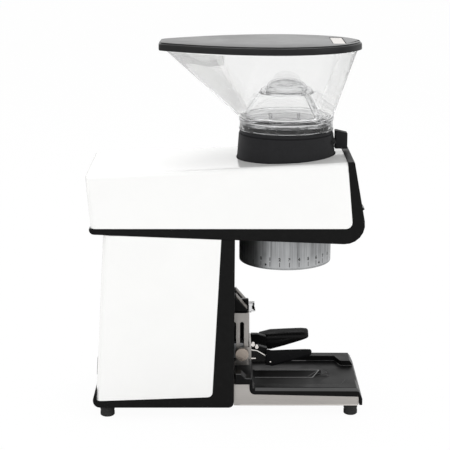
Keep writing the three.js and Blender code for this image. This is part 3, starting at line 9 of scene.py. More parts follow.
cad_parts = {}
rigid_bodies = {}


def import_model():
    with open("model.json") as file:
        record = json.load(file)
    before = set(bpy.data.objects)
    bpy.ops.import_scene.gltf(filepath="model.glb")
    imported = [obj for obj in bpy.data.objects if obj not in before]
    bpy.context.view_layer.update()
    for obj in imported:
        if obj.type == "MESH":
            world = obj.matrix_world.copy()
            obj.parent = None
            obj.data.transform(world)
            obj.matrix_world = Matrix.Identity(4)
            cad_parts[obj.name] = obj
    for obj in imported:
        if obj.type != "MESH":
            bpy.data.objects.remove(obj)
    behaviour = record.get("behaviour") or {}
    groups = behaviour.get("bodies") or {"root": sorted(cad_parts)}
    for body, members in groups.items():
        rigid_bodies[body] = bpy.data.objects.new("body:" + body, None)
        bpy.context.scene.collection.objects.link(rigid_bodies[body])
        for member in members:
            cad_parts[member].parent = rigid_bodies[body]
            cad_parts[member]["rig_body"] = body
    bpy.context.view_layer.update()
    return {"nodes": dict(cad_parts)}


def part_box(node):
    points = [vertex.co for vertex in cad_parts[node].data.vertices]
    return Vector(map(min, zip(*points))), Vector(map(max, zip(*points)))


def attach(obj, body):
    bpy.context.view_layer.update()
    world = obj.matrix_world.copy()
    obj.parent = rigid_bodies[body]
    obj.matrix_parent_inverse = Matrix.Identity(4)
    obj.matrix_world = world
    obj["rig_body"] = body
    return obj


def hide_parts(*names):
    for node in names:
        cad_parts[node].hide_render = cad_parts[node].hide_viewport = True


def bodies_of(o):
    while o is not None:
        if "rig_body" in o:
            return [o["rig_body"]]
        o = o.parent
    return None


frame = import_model()

bl_info = {
    "name": "Coffee grinder",
    "version": (1, 0, 0),
    "blender": (4, 5, 0),
    "location": "3D View > Sidebar > Grinder",
    "description": "Builds the finished pieces, finishes and studio stage of a coffee grinder",
    "category": "Object",
}

MM = 0.001
MERGE = 2e-6
UP = Vector((0, 0, 1))


def middle_of(node):
    """Middle of a CAD node's box at rest"""
    low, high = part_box(node)
    return (low + high) / 2


def upright_axis(node):
    """Foot of the upright axis through a CAD node's middle"""
    middle = middle_of(node)
    return Vector((middle.x, middle.y, 0))


def round_size(node):
    """Radius, foot and top of a round CAD node"""
    low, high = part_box(node)
    return (high.x - low.x) / 2, low.z, high.z


RING_AXIS = upright_axis("adjusting_ring")
COLLAR_AXIS = upright_axis("hopper_neck")


# Properties


def colour(name, description, value):
    """Colour property"""
    return bpy.props.FloatVectorProperty(
        name=name, description=description, subtype="COLOR", size=3, min=0.0, max=1.0, default=value)


def length(name, description, value):
    """Length property, given in millimetres and kept in metres"""
    return bpy.props.FloatProperty(
        name=name, description=description, unit="LENGTH", precision=5, default=value * MM)


class GrinderColours(bpy.types.PropertyGroup):
    """Colours of the finishes"""
    cover: colour("Covers", "Gloss white paint of the head and column covers", (0.9, 0.9, 0.89))
    frame: colour("Frames", "Satin black of the frames", (0.0075, 0.0075, 0.0075))
    moulding: colour("Mouldings", "Moulded black of the tray and the trigger", (0.006, 0.006, 0.006))
    matte: colour("Matte parts", "Grained black of the collar and the grips", (0.012, 0.012, 0.0132))
    lid: colour("Lid", "Dark grey of the lid", (0.012, 0.0122, 0.0126))
    clear: colour("Clear plastic", "Tint of the hopper and the bean guard", (0.955, 0.958, 0.963))
    ring: colour("Ring", "Brushed aluminium of the adjusting ring", (0.36, 0.366, 0.372))
    steel: colour("Steel", "Brushed steel of the base and the bracket", (0.445, 0.425, 0.405))
    nickel: colour("Knobs", "Turned nickel of the clamp knobs", (0.36, 0.31, 0.27))
    rubber: colour("Feet", "Rubber of the feet", (0.013, 0.013, 0.013))
    print: colour("Scale", "Ink of the ring's numbers and lines", (0.03, 0.03, 0.03))


class GrinderSizes(bpy.types.PropertyGroup):
    """Sizes of the details that Blender adds"""
    edge: length("Edge", "Rounding of sharp edges on housings", 0.5)
    sheet_edge: length("Sheet edge", "Rounding of sheet metal edges", 0.25)
    digit: length("Number height", "Height of the ring's numbers", 5.0)
    tick: length("Line height", "Height of the ring's scale lines", 7.4)
    print: length("Ink", "Thickness of the printed scale", 0.05)


def power(name, description, value):
    """Strength property of a light"""
    return bpy.props.FloatProperty(name=name, description=description, default=value, min=0.0)


class GrinderLights(bpy.types.PropertyGroup):
    """Lamps and world"""
    key: power("Key", "Power of the large lamp at the left of the camera", 14.0)
    fill: power("Fill", "Power of the lamp at the right of the camera", 10.0)
    top: power("Top", "Power of the lamp overhead", 15.0)
    rear: power("Rear", "Power of the lamp behind", 3.0)
    world: power("World", "Strength of the even light from all sides", 0.8)


# Shader node groups and finishes


def add_node(tree, kind, inputs=None, **settings):
    """New node with its settings, and its inputs linked or set"""
    made = tree.nodes.new(kind)
    for key, value in settings.items():
        setattr(made, key, value)
    for key, value in (inputs or {}).items():
        if isinstance(value, bpy.types.NodeSocket):
            tree.links.new(value, made.inputs[key])
        else:
            made.inputs[key].default_value = value
    return made


def math_of(tree, operation, first, second):
    """Result of a maths node"""
    return add_node(tree, "ShaderNodeMath", {0: first, 1: second}, operation=operation).outputs[0]


def ranged(tree, value, low=0.0, high=1.0, least=0.0, most=1.0):
    """A value's place between low and high, carried over to the range from least to most"""
    return add_node(tree, "ShaderNodeMapRange", {
        "Value": value, "From Min": low, "From Max": high, "To Min": least, "To Max": most}).outputs["Result"]


def noise(tree, where, scale, **more):
    """Noise texture"""
    return add_node(tree, "ShaderNodeTexNoise", {"Vector": where, "Scale": scale, **more}).outputs["Fac"]


def mixed_values(tree, share, first, second):
    """Value between two values"""
    return add_node(tree, "ShaderNodeMix", {
        "Factor": share, "A": first, "B": second}, data_type="FLOAT").outputs["Result"]


def mixed_colours(tree, share, *colours):
    """Colour between two colours, each given as three numbers or a socket"""
    mixed = add_node(tree, "ShaderNodeMix", {"Factor": share}, data_type="RGBA")
    for socket, value in zip([s for s in mixed.inputs if s.type == "RGBA"], colours):
        if isinstance(value, bpy.types.NodeSocket):
            tree.links.new(value, socket)
        else:
            socket.default_value = (*value, 1.0)
    return next(s for s in mixed.outputs if s.type == "RGBA")


def parts_of(tree, vector):
    """The three parts of a vector"""
    return add_node(tree, "ShaderNodeSeparateXYZ", {0: vector}).outputs


def facing(tree):
    """The three parts of the face's normal"""
    return parts_of(tree, tree.nodes.new("ShaderNodeNewGeometry").outputs["Normal"])


def new_group(name, inputs, outputs, kind="Float"):
    """New shader node group with its input sockets, a vector where no number is given, and its end node"""
    tree = bpy.data.node_groups.new(name, "ShaderNodeTree")
    for label, value in inputs.items():
        socket = tree.interface.new_socket(
            label, in_out="INPUT", socket_type="NodeSocketVector" if value is None else "NodeSocketFloat")
        if value is not None:
            socket.default_value = value
    for label in outputs:
        tree.interface.new_socket(label, in_out="OUTPUT", socket_type=f"NodeSocket{kind}")
    start = tree.nodes.new("NodeGroupInput")
    return tree, list(start.outputs)[:len(inputs)], tree.nodes.new("NodeGroupOutput")


def ended(tree, end, *values):
    """The group's tree, with its outputs linked in order"""
    for value, socket in zip(values, end.inputs):
        tree.links.new(value, socket)
    return tree


def grain_group():
    """Fine moulded or painted grain: two sizes of noise"""
    tree, (where, fineness), end = new_group("Grain", {"Vector": None, "Fineness": 1500.0}, ("Height", "Tone"))
    fine = noise(tree, where, fineness, Detail=3.0, Roughness=0.6)
    coarse = noise(tree, where, math_of(tree, "MULTIPLY", fineness, 0.13), Detail=2.0)
    return ended(tree, end, mixed_values(tree, 0.35, fine, coarse), coarse)


def brush_group():
    """Brush lines that run along the vector's X, spaced along its Y and Z"""
    tree, (where, lines, stretch), end = new_group(
        "Brush lines", {"Vector": None, "Lines": 4000.0, "Stretch": 0.01}, ("Height", "Tone"))
    along = add_node(tree, "ShaderNodeCombineXYZ", {0: stretch, 1: 1.0, 2: 1.0}).outputs[0]
    drawn = add_node(tree, "ShaderNodeVectorMath", {0: where, 1: along}, operation="MULTIPLY").outputs[0]
    fine = noise(tree, drawn, lines, Detail=2.0, Roughness=0.55)
    broad = noise(tree, drawn, math_of(tree, "MULTIPLY", lines, 0.11), Detail=3.0, Roughness=0.6)
    return ended(tree, end, fine, mixed_values(tree, 0.6, fine, broad))


def handling_group():
    """Soft patches left by cleaning and handling, as a mask"""
    tree, (where, size), end = new_group("Handling", {"Vector": None, "Size": 30.0}, ("Mask",))
    return ended(tree, end, ranged(tree, noise(tree, where, size, Detail=4.0, Distortion=0.6), 0.35, 0.7))


def level_group():
    """Mask of the faces that look straight up"""
    tree, (sharpness,), end = new_group("Level", {"Sharpness": 0.95}, ("Mask",))
    return ended(tree, end, ranged(tree, facing(tree)["Z"], sharpness))


def tilted_group():
    """Mask of the rounded edges: neither upright nor level, and not turned to the front"""
    tree, (low,), end = new_group("Tilted", {"Low": 0.3}, ("Mask",))
    normal = facing(tree)
    band = math_of(tree, "MULTIPLY", ranged(tree, normal["Z"], low, 0.55), ranged(tree, normal["Z"], 0.94, 0.8))
    return ended(tree, end, math_of(tree, "MULTIPLY", band, ranged(tree, normal["X"], 0.6, 0.3)))


def dust_group():
    """Sparse specks of dust on faces that look up, as a mask"""
    tree, (where, specks), end = new_group("Dust", {"Vector": None, "Specks": 900.0}, ("Mask",))
    cells = add_node(tree, "ShaderNodeTexVoronoi", {"Vector": where, "Scale": specks}, feature="F1")
    few = ranged(tree, cells.outputs["Distance"], 0.16, 0.05)
    some = ranged(tree, noise(tree, where, 60.0), 0.52, 0.66)
    level = ranged(tree, facing(tree)["Z"], 0.7, 0.95)
    return ended(tree, end, math_of(tree, "MULTIPLY", math_of(tree, "MULTIPLY", few, some), level))


def round_group():
    """Unrolls a turned piece: the vector's X runs up the axis or out from it, its Y runs round"""
    tree, (where, radius), end = new_group(
        "Unrolled", {"Vector": None, "Radius": 0.05}, ("Upright", "Spun"), "Vector")
    x, y, z = parts_of(tree, where)
    way = math_of(tree, "MULTIPLY", math_of(tree, "ARCTAN2", y, x), radius)
    flat = add_node(tree, "ShaderNodeCombineXYZ", {0: x, 1: y}).outputs[0]
    out = add_node(tree, "ShaderNodeVectorMath", {0: flat}, operation="LENGTH").outputs["Value"]
    upright = add_node(tree, "ShaderNodeCombineXYZ", {0: z, 1: way}).outputs[0]
    spun = add_node(tree, "ShaderNodeCombineXYZ", {0: way, 1: out, 2: z}).outputs[0]
    return ended(tree, end, upright, spun)


EFFECTS = {
    "Grain": grain_group, "Brush lines": brush_group, "Handling": handling_group, "Dust": dust_group,
    "Unrolled": round_group, "Level": level_group, "Tilted": tilted_group,
}


def effect(tree, name, inputs):
    """Places one of the shared node groups in a material"""
    group = bpy.data.node_groups.get(name) or EFFECTS[name]()
    return add_node(tree, "ShaderNodeGroup", inputs, node_tree=group)


def principled(name, colour_value, roughness, metallic=0.0, **plain):
    """New material with its Principled shader set, and its Object coordinates"""
    material = bpy.data.materials.new(f"finish_{name}")
    material.use_nodes = True
    tree = material.node_tree
    bsdf = tree.nodes["Principled BSDF"]
    bsdf.inputs["Base Color"].default_value = (*colour_value, 1.0)
    bsdf.inputs["Roughness"].default_value = roughness
    bsdf.inputs["Metallic"].default_value = metallic
    for label, value in plain.items():
        bsdf.inputs[label.replace("_", " ")].default_value = value
    where = tree.nodes.new("ShaderNodeTexCoord").outputs["Object"]
    return material, tree, bsdf, where


def mix_shaders(tree, share, first, second):
    """Ends a material in a mix of two shader nodes"""
    shader = add_node(tree, "ShaderNodeMixShader", {0: share, 1: first.outputs[0], 2: second.outputs[0]})
    output = next(n for n in tree.nodes if n.type == "OUTPUT_MATERIAL")
    tree.links.new(shader.outputs[0], output.inputs["Surface"])


def tint(tree, bsdf, shade, mask, low, high):
    """Lets the base colour go from a share to another share of itself as the mask goes from 0 to 1"""
    result = mixed_colours(tree, mask, *([min(c * share, 1.0) for c in shade] for share in (low, high)))
    tree.links.new(result, bsdf.inputs["Base Color"])
    return result


def vary(tree, bsdf, label, mask, low, high):
    """Lets an input of the shader go from low to high as the mask goes from 0 to 1"""
    tree.links.new(ranged(tree, mask, least=low, most=high), bsdf.inputs[label])


def relief(tree, bsdf, height, depth, strength):
    """Bump from a height"""
    bump = add_node(tree, "ShaderNodeBump", {"Height": height, "Distance": depth, "Strength": strength})
    tree.links.new(bump.outputs["Normal"], bsdf.inputs["Normal"])


def mapped(tree, where, **moves):
    """Coordinates moved or turned"""
    return add_node(tree, "ShaderNodeMapping", {"Vector": where, **moves}).outputs["Vector"]


def handled(tree, where, size):
    """Mask of the patches left by handling"""
    return effect(tree, "Handling", {"Vector": where, "Size": size}).outputs["Mask"]


def brushed(tree, where, lines, stretch):
    """Brush lines"""
    return effect(tree, "Brush lines", {"Vector": where, "Lines": lines, "Stretch": stretch}).outputs


def simple_finish(name, colours, shade, rough, tones, share=1.0, metallic=0.0, grain=None, lines=None, upright=False,
                  marks=None, by_marks=False, worn=None, bump=None, dust=None, gloss=None, **plain):
    """Finish of one colour with a grain or brush lines, patches of wear, a relief, dust and glossy places"""
    base = [c * share for c in (getattr(colours, shade) if isinstance(shade, str) else shade)]
    material, tree, bsdf, where = principled(name, base, rough, metallic, **plain)
    if upright:
        where = mapped(tree, where, Rotation=(0, math.pi / 2, 0))
    pattern = {"Tone": None}
    if grain:
        pattern = effect(tree, "Grain", {"Vector": where, "Fineness": grain}).outputs
    elif lines:
        pattern = brushed(tree, where, *lines)
    wear = handled(tree, where, marks) if marks else pattern["Tone"]
    tinted = tint(tree, bsdf, base, wear if by_marks else pattern["Tone"], *tones)
    if worn:
        vary(tree, bsdf, "Roughness", wear, *worn)
    if bump:
        relief(tree, bsdf, pattern["Height"], bump[0] * MM, bump[1])
    if dust:
        specks = effect(tree, "Dust", {"Vector": where, "Specks": dust}).outputs["Mask"]
        tree.links.new(mixed_colours(tree, specks, tinted, (0.09, 0.085, 0.08)), bsdf.inputs["Base Color"])
    if gloss:
        group, label, value, low, high = gloss
        vary(tree, bsdf, "Specular IOR Level", effect(tree, group, {label: value}).outputs["Mask"], low, high)
    return material


# Each simple finish: its colour (one of the grinder's, or its own) and share of it, roughness, fineness of its grain
# or spacing and stretch of its brush lines, size of its patches of wear (which the colour follows too if by_marks),
# the shares of the colour and the roughness it varies between, depth in millimetres and strength of its relief,
# fineness of its dust, the mask of its glossy places with the specular level off and on it, and plain shader inputs
SIMPLE_FINISHES = {
    # Gloss white paint with a faint orange peel
    "white_paint": dict(
        shade="cover", rough=0.22, grain=320.0, marks=14.0, by_marks=True, tones=(1.0, 0.985), worn=(0.19, 0.26),
        bump=(0.02, 0.35), Coat_Weight=0.35, Coat_Roughness=0.06),
    # Satin black powder coat of the frames
    "black_paint": dict(
        shade="frame", rough=0.42, grain=1300.0, marks=18.0, tones=(0.8, 1.25), worn=(0.38, 0.48), bump=(0.05, 0.5),
        Specular_IOR_Level=0.05),
    # Satin moulded plastic of the tray, the arms and the trigger
    "black_moulding": dict(
        shade="moulding", rough=0.34, grain=1900.0, marks=26.0, dust=700.0, tones=(0.85, 1.2), worn=(0.3, 0.42),
        gloss=("Tilted", "Low", 0.3, 0.055, 1.0), bump=(0.03, 0.5), Specular_IOR_Level=0.3),
    # Glossier moulded plastic of the far sleeve and the keys
    "black_gloss": dict(
        shade="moulding", rough=0.22, grain=900.0, marks=40.0, tones=(0.8, 1.1), worn=(0.18, 0.3), bump=(0.02, 0.4),
        Specular_IOR_Level=0.12),
    # Matte grained plastic of the collar and the gate's grip
    "black_grained": dict(
        shade="matte", rough=0.6, grain=1600.0, marks=22.0, tones=(0.8, 1.25), worn=(0.54, 0.66), bump=(0.09, 0.7),
        Specular_IOR_Level=0.15),
    # Glossy black of the beads on the tray's edges, coloured lighter to paint highlights along them
    "black_sheen": dict(
        shade="moulding", share=24, rough=0.3, grain=900.0, tones=(0.8, 1.2), worn=(0.22, 0.38),
        Specular_IOR_Level=1.0),
    # Darker, duller copy of the sleeves' black on the near sleeve, painting the shade it sits in
    "black_sleeve": dict(
        shade="matte", share=0.35, rough=0.5, grain=1400.0, marks=30.0, tones=(0.8, 1.25), worn=(0.48, 0.62),
        bump=(0.06, 0.6), Specular_IOR_Level=0.06),
    # Dark grey lid with a fine satin texture
    "lid_plastic": dict(
        shade="lid", rough=0.34, grain=2100.0, marks=16.0, by_marks=True, tones=(0.92, 1.1), worn=(0.3, 0.38),
        gloss=("Level", "Sharpness", 0.45, 0.16, 0.6), bump=(0.03, 0.5)),
    # Steel sheet brushed along its length
    "brushed_steel": dict(
        shade="steel", rough=0.36, metallic=1.0, lines=(5200.0, 0.012), marks=24.0, tones=(0.84, 1.14),
        worn=(0.32, 0.44), bump=(0.02, 0.6)),
    # Polished steel of screws, pins and keys
    "polished_steel": dict(
        shade="steel", share=1.5, rough=0.18, metallic=1.0, lines=(9000.0, 0.05), marks=120.0, tones=(0.9, 1.1),
        worn=(0.14, 0.24), bump=(0.01, 0.5)),
    # Bright edge of the fork's plates
    "polished_nickel": dict(
        shade=(0.72, 0.7, 0.67), rough=0.16, metallic=1.0, lines=(5000.0, 0.03), marks=80.0, tones=(0.9, 1.1),
        worn=(0.12, 0.22)),
    # Dull grey of the trigger's cover
    "grey_cover": dict(
        shade=(0.15, 0.135, 0.12), rough=0.42, metallic=0.5, lines=(2500.0, 0.03), tones=(0.85, 1.15),
        worn=(0.36, 0.5)),
    # Dull rubber of the feet
    "foot_rubber": dict(
        shade="rubber", rough=0.75, grain=1100.0, tones=(0.75, 1.5), worn=(0.66, 0.84), bump=(0.1, 0.6),
        Specular_IOR_Level=0.35),
    # Sand-cast aluminium
    "cast_alloy": dict(
        shade=(0.4, 0.41, 0.42), rough=0.5, metallic=1.0, grain=700.0, marks=50.0, tones=(0.75, 1.25),
        worn=(0.42, 0.6), bump=(0.15, 0.7)),
    # Ground steel of the burrs, bearings and shafts
    "ground_steel": dict(
        shade=(0.46, 0.46, 0.47), rough=0.26, metallic=1.0, lines=(7000.0, 0.03), tones=(0.8, 1.2),
        worn=(0.2, 0.34), bump=(0.01, 0.5)),
    # Drawn aluminium can of the capacitor
    "drawn_can": dict(
        shade=(0.56, 0.56, 0.57), rough=0.3, metallic=1.0, upright=True, lines=(3000.0, 0.02), tones=(0.85, 1.1),
        bump=(0.02, 0.5)),
    # Solder mask over glass cloth
    "circuit_board": dict(shade=(0.02, 0.11, 0.055), rough=0.4, grain=2500.0, tones=(0.8, 1.3), bump=(0.03, 0.4)),
    # Dark display glass
    "dark_glass": dict(
        shade=(0.006, 0.007, 0.008), rough=0.06, marks=60.0, by_marks=True, tones=(0.8, 1.4), worn=(0.04, 0.12),
        Coat_Weight=0.6, Coat_Roughness=0.03),
    # Dark ink of the ring's scale, slightly worn
    "scale_ink": dict(shade="print", rough=0.5, grain=900.0, tones=(0.7, 1.9)),
}
# Steel sheet brushed up and down; paler steel for the lid's plate and the base's hems, where it paints the floor's
# reflection
SIMPLE_FINISHES["upright_steel"] = {**SIMPLE_FINISHES["brushed_steel"], "upright": True, "share": 0.74}
SIMPLE_FINISHES["badge_steel"] = {**SIMPLE_FINISHES["brushed_steel"], "share": 1.35}

# Each clear plastic: share of the colour, how much passes straight through, where its painted dark edges begin, and
# how light that painted shade is
CLEAR_FINISHES = {
    "clear_neck": (0.7, 0.0, 0.7, 1.0), "clear_guard": (1.0, 0.0, 0.45, 0.3), "clear_bowl": (0.97, 0.74, 0.7, 1.0),
}


def clear_finish(name, colours, share, airiness, onset, painted_edge_light):
    """Clear moulded plastic that lets shadow rays through, with a dark colour painted where it is seen along its wall,
    standing in for the refraction and reflection there
    """
    shade = [c * share for c in colours.clear]
    material, tree, bsdf, where = principled(
        name, shade, 0.02, IOR=1.49, Transmission_Weight=1.0)
    marks = handled(tree, where, 20.0)
    vary(tree, bsdf, "Roughness", marks, 0.0, 0.03)
    plain = tint(tree, bsdf, shade, marks, 1.0, 0.99)
    rays = tree.nodes.new("ShaderNodeLightPath").outputs
    unseen = math_of(tree, "MAXIMUM", rays["Is Shadow Ray"], rays["Is Diffuse Ray"])
    graze = add_node(tree, "ShaderNodeLayerWeight", {"Blend": 0.5}).outputs["Facing"]
    rim = ranged(tree, graze, onset)
    passing = math_of(tree, "MAXIMUM", unseen, ranged(tree, rim, high=0.6, least=airiness, most=0.0))
    airy = add_node(tree, "ShaderNodeBsdfTransparent", {"Color": (0.975, 0.975, 0.973, 1.0)})
    mix_shaders(tree, passing, bsdf, airy)
    # Painted shade: the colour darkens where the wall is seen edge-on, in place of refraction and reflection
    painted_edge_shade = [c * painted_edge_light for c in (0.13, 0.14, 0.18)]
    tree.links.new(mixed_colours(tree, rim, plain, painted_edge_shade), bsdf.inputs["Base Color"])
    return material


def brushed_ring(colours):
    """Aluminium ring, brushed up and down; its colour is streaked along the brushing, partly the brushing's own tone
    and partly painted reflections, the streaks fading towards the foot
    """
    material, tree, bsdf, where = principled("brushed_ring", colours.ring, 0.5, 1.0)
    centred = mapped(tree, where, Location=(-RING_AXIS.x, -RING_AXIS.y, 0))
    around = effect(tree, "Unrolled", {"Vector": centred, "Radius": 0.074})
    lines = brushed(tree, around.outputs["Upright"], 1500.0, 0.012)
    brushing_and_reflection_streaks = ranged(tree, lines["Tone"], 0.34, 0.66)
    fade_foot, fade_top = 0.243, 0.262
    strength = ranged(tree, parts_of(tree, where)["Z"], fade_foot, fade_top, 0.3, 1.0)
    # The streaked colour is partly the brushing's tone and partly painted reflection; towards the foot it fades to an
    # even, lighter colour
    tint(tree, bsdf, colours.ring, mixed_values(tree, strength, 1.0, brushing_and_reflection_streaks), 0.4, 1.25)
    vary(tree, bsdf, "Roughness", handled(tree, where, 30.0), 0.46, 0.56)
    relief(tree, bsdf, lines["Height"], 0.03 * MM, 0.4)
    return material


def knob_nickel(colours):
    """Nickel with the rings of a lathe round the clamp knobs' level axis"""
    axis = middle_of("clamp_knob_left")
    material, tree, bsdf, where = principled("knob_nickel", colours.nickel, 0.3, 1.0)
    laid = mapped(tree, mapped(tree, where, Location=(-axis.x, 0, -axis.z)), Rotation=(math.pi / 2, 0, 0))
    around = effect(tree, "Unrolled", {"Vector": laid, "Radius": 0.01})
    lines = brushed(tree, around.outputs["Spun"], 6000.0, 0.02)
    tint(tree, bsdf, colours.nickel, lines["Tone"], 0.8, 1.2)
    vary(tree, bsdf, "Roughness", handled(tree, where, 90.0), 0.24, 0.36)
    relief(tree, bsdf, lines["Height"], 0.02 * MM, 0.6)
    return material


def finish(name):
    """The finish of that name, made the first time that a piece asks for it"""
    found = bpy.data.materials.get(f"finish_{name}")
    if found:
        return found
    colours = bpy.context.scene.grinder_colours
    if name in SIMPLE_FINISHES:
        return simple_finish(name, colours, **SIMPLE_FINISHES[name])
    if name in CLEAR_FINISHES:
        return clear_finish(name, colours, *CLEAR_FINISHES[name])
    return {"brushed_ring": brushed_ring, "knob_nickel": knob_nickel}[name](colours)


# Modelling by hand: helpers


def take(piece):
    """Makes one piece the only selected and active one"""
    bpy.ops.object.select_all(action="DESELECT")
    piece.select_set(True)
    bpy.context.view_layer.objects.active = piece
    return piece


def added(add, name=None, **settings):
    """New object from one of Blender's own operators, the only one selected"""
    bpy.ops.object.select_all(action="DESELECT")
    add(**settings)
    piece = bpy.context.object
    piece.name = name or piece.name
    return piece


def settled(piece):
    """Piece with its place, turn and scale worked into its mesh"""
    take(piece)
    bpy.ops.object.transform_apply(location=True, rotation=True, scale=True)
    return piece


@contextmanager
def bench(piece, what="VERT"):
    """Edit mode on one piece, all of it selected"""
    take(piece)
    bpy.ops.object.mode_set(mode="EDIT")
    bpy.ops.mesh.select_mode(type=what)
    bpy.ops.mesh.select_all(action="SELECT")
    yield
    bpy.ops.object.mode_set(mode="OBJECT")


def pick_edges(piece, points):
    """In edit mode, selects the edges that have both ends on the points"""
    bpy.ops.mesh.select_all(action="DESELECT")
    mesh = bmesh.from_edit_mesh(piece.data)
    for edge in mesh.edges:
        if all(min((end.co - Vector(point)).length for point in points) < MERGE for end in edge.verts):
            edge.select_set(True)
    bmesh.update_edit_mesh(piece.data)


def modify(piece, kind, **settings):
    """Adds a modifier to a piece and applies it"""
    take(piece)
    bpy.ops.object.modifier_add(type=kind)
    modifier = piece.modifiers[-1]
    for key, value in settings.items():
        setattr(modifier, key, value)
    bpy.ops.object.modifier_apply(modifier=modifier.name)
    return piece


def round_edges(piece, width, angle=40, steps=2):
    """Rounds a piece's sharp edges"""
    return modify(
        piece, "BEVEL", width=width, segments=steps, limit_method="ANGLE", angle_limit=math.radians(angle),
        use_clamp_overlap=False, harden_normals=False, miter_outer="MITER_ARC")


def cut_away(piece, cutter):
    """Cuts one piece out of another, and removes the cutter"""
    modify(piece, "BOOLEAN", operation="DIFFERENCE", object=cutter, solver="MANIFOLD")
    bpy.data.objects.remove(cutter)
    return piece


def copy_of(node, name=None):
    """New object with a merged copy of a CAD node's mesh, freed of the edges inside flat faces"""
    piece = bpy.data.objects.new(name or f"{node}_finished", frame["nodes"][node].data.copy())
    bpy.context.scene.collection.objects.link(piece)
    with bench(piece):
        bpy.ops.mesh.customdata_custom_splitnormals_clear()
        bpy.ops.mesh.remove_doubles(threshold=MERGE)
        bpy.ops.mesh.dissolve_limited(angle_limit=math.radians(0.4))
    return piece


def traced(name, points, closed=True):
    """Line drawn from point to point, as one vertex extruded along"""
    piece = added(bpy.ops.mesh.primitive_plane_add, name, size=MM)
    with bench(piece):
        bpy.ops.mesh.merge(type="CENTER")
        bpy.ops.transform.translate(value=points[0])
        here = Vector(points[0])
        for point in [*points[1:], *(points[:1] if closed else [])]:
            bpy.ops.mesh.extrude_region_move(TRANSFORM_OT_translate={"value": Vector(point) - here})
            here = Vector(point)
        bpy.ops.mesh.select_all(action="SELECT")
        bpy.ops.mesh.remove_doubles(threshold=MERGE)
    return piece


def face_out(piece):
    """In edit mode, turns all of a closed piece's faces outward"""
    bpy.ops.mesh.select_all(action="SELECT")
    bpy.ops.mesh.normals_make_consistent(inside=False)
    if bmesh.from_edit_mesh(piece.data).calc_volume(signed=True) < 0:
        bpy.ops.mesh.flip_normals()


def turned(name, profile, axis_at, steps, closed=True):
    """Piece turned round an upright axis from its profile of radius and height"""
    piece = traced(name, [(axis_at[0] + r, axis_at[1], z) for r, z in profile], closed)
    with bench(piece):
        bpy.ops.mesh.spin(steps=steps, angle=math.tau, center=(axis_at[0], axis_at[1], 0), axis=UP)
        bpy.ops.mesh.select_all(action="SELECT")
        bpy.ops.mesh.remove_doubles(threshold=MERGE)
        face_out(piece)
    return piece


def skinned(name, rings, closed=True):
    """Skin over rings of points: each ring is drawn out of the one before and its points put in place"""
    piece = traced(name, rings[0])
    with bench(piece, "EDGE"):
        before = range(len(rings[0]))
        for ring in rings[1:]:
            bpy.ops.mesh.extrude_region_move()
            mesh = bmesh.from_edit_mesh(piece.data)
            mesh.verts.ensure_lookup_table()
            here = []
            for point, index in zip(ring, before):
                drawn = next(edge.other_vert(mesh.verts[index]) for edge in mesh.verts[index].link_edges
                             if edge.other_vert(mesh.verts[index]).select)
                drawn.co = point
                here.append(drawn.index)
            before = here
            bmesh.update_edit_mesh(piece.data)
        if closed:
            bpy.ops.mesh.select_all(action="SELECT")
            bpy.ops.mesh.remove_doubles(threshold=MERGE)
        else:
            bpy.ops.mesh.edge_face_add()
            pick_edges(piece, rings[0])
            bpy.ops.mesh.edge_face_add()
        face_out(piece)
    return piece


def hull_of(node, height):
    """Convex outline of a CAD node's points at a height, from its foremost point round"""
    points = sorted({(round(v.co.x, 7), round(v.co.y, 7)) for v in frame["nodes"][node].data.vertices
                     if abs(v.co.z - height) < 5 * MERGE})
    outline = [Vector(points[i]) for i in geometry.convex_hull_2d(points)]
    start = max(range(len(outline)), key=lambda i: (outline[i].x, -abs(outline[i].y)))
    return outline[start:] + outline[:start]


def softened(outline, parts):
    """Closed outline with a smooth curve through its points, each stretch in that many parts"""
    count = len(outline)
    curve = []
    for i in range(count):
        a, b, c, d = (outline[(i + k) % count] for k in (-1, 0, 1, 2))
        for k in range(parts):
            t = k / parts
            curve.append(0.5 * (2 * b + (c - a) * t + (2 * a - 5 * b + 4 * c - d) * t * t
                                + (3 * b - a - 3 * c + d) * t ** 3))
    return curve


def inset(outline, distance):
    """Closed outline moved in by a distance, in small steps that keep tight corners free of folds"""
    count, moves = len(outline), 8
    ease = 0.05 * distance / MM
    for _ in range(moves):
        moved = []
        for i, point in enumerate(outline):
            along = (outline[(i + 1) % count] - outline[i - 1]).normalized()
            moved.append(point + Vector((-along.y, along.x)) * distance / moves)
        outline = [p * (1 - 2 * ease) + (moved[i - 1] + moved[(i + 1) % count]) * ease for i, p in enumerate(moved)]
    return outline


def lifted(outline, height):
    """Outline as points in space"""
    return [(p.x, p.y, height) for p in outline]


def box_between(low, high):
    """Box between two corners"""
    low, high = Vector(low), Vector(high)
    piece = added(bpy.ops.mesh.primitive_cube_add, size=1, location=(low + high) / 2)
    piece.scale = high - low
    return settled(piece)


def rod(name, radius, start, end, steps=32):
    """Round rod from one point to another"""
    start, end = Vector(start), Vector(end)
    return settled(added(
        bpy.ops.mesh.primitive_cylinder_add, name, vertices=steps, radius=radius, depth=(end - start).length,
        location=(start + end) / 2, rotation=(end - start).to_track_quat("Z", "Y").to_euler()))


def stepped(radius, points):
    """Profile from how many millimetres each point lies inside a radius and above a height"""
    return [(radius - depth * MM, height + rise * MM) for depth, height, rise in points]


def joined(pieces, name=None):
    """Several pieces made into the first of them, which may get a new name"""
    take(pieces[0])
    for piece in pieces[1:]:
        piece.select_set(True)
    if len(pieces) > 1:
        bpy.ops.object.join()
    pieces[0].name = name or pieces[0].name
    return pieces[0]


def put_points(piece, where):
    """Puts each point of a piece where the function says"""
    with bench(piece):
        mesh = bmesh.from_edit_mesh(piece.data)
        for vertex in mesh.verts:
            vertex.co = where(vertex.co)
        bmesh.update_edit_mesh(piece.data)


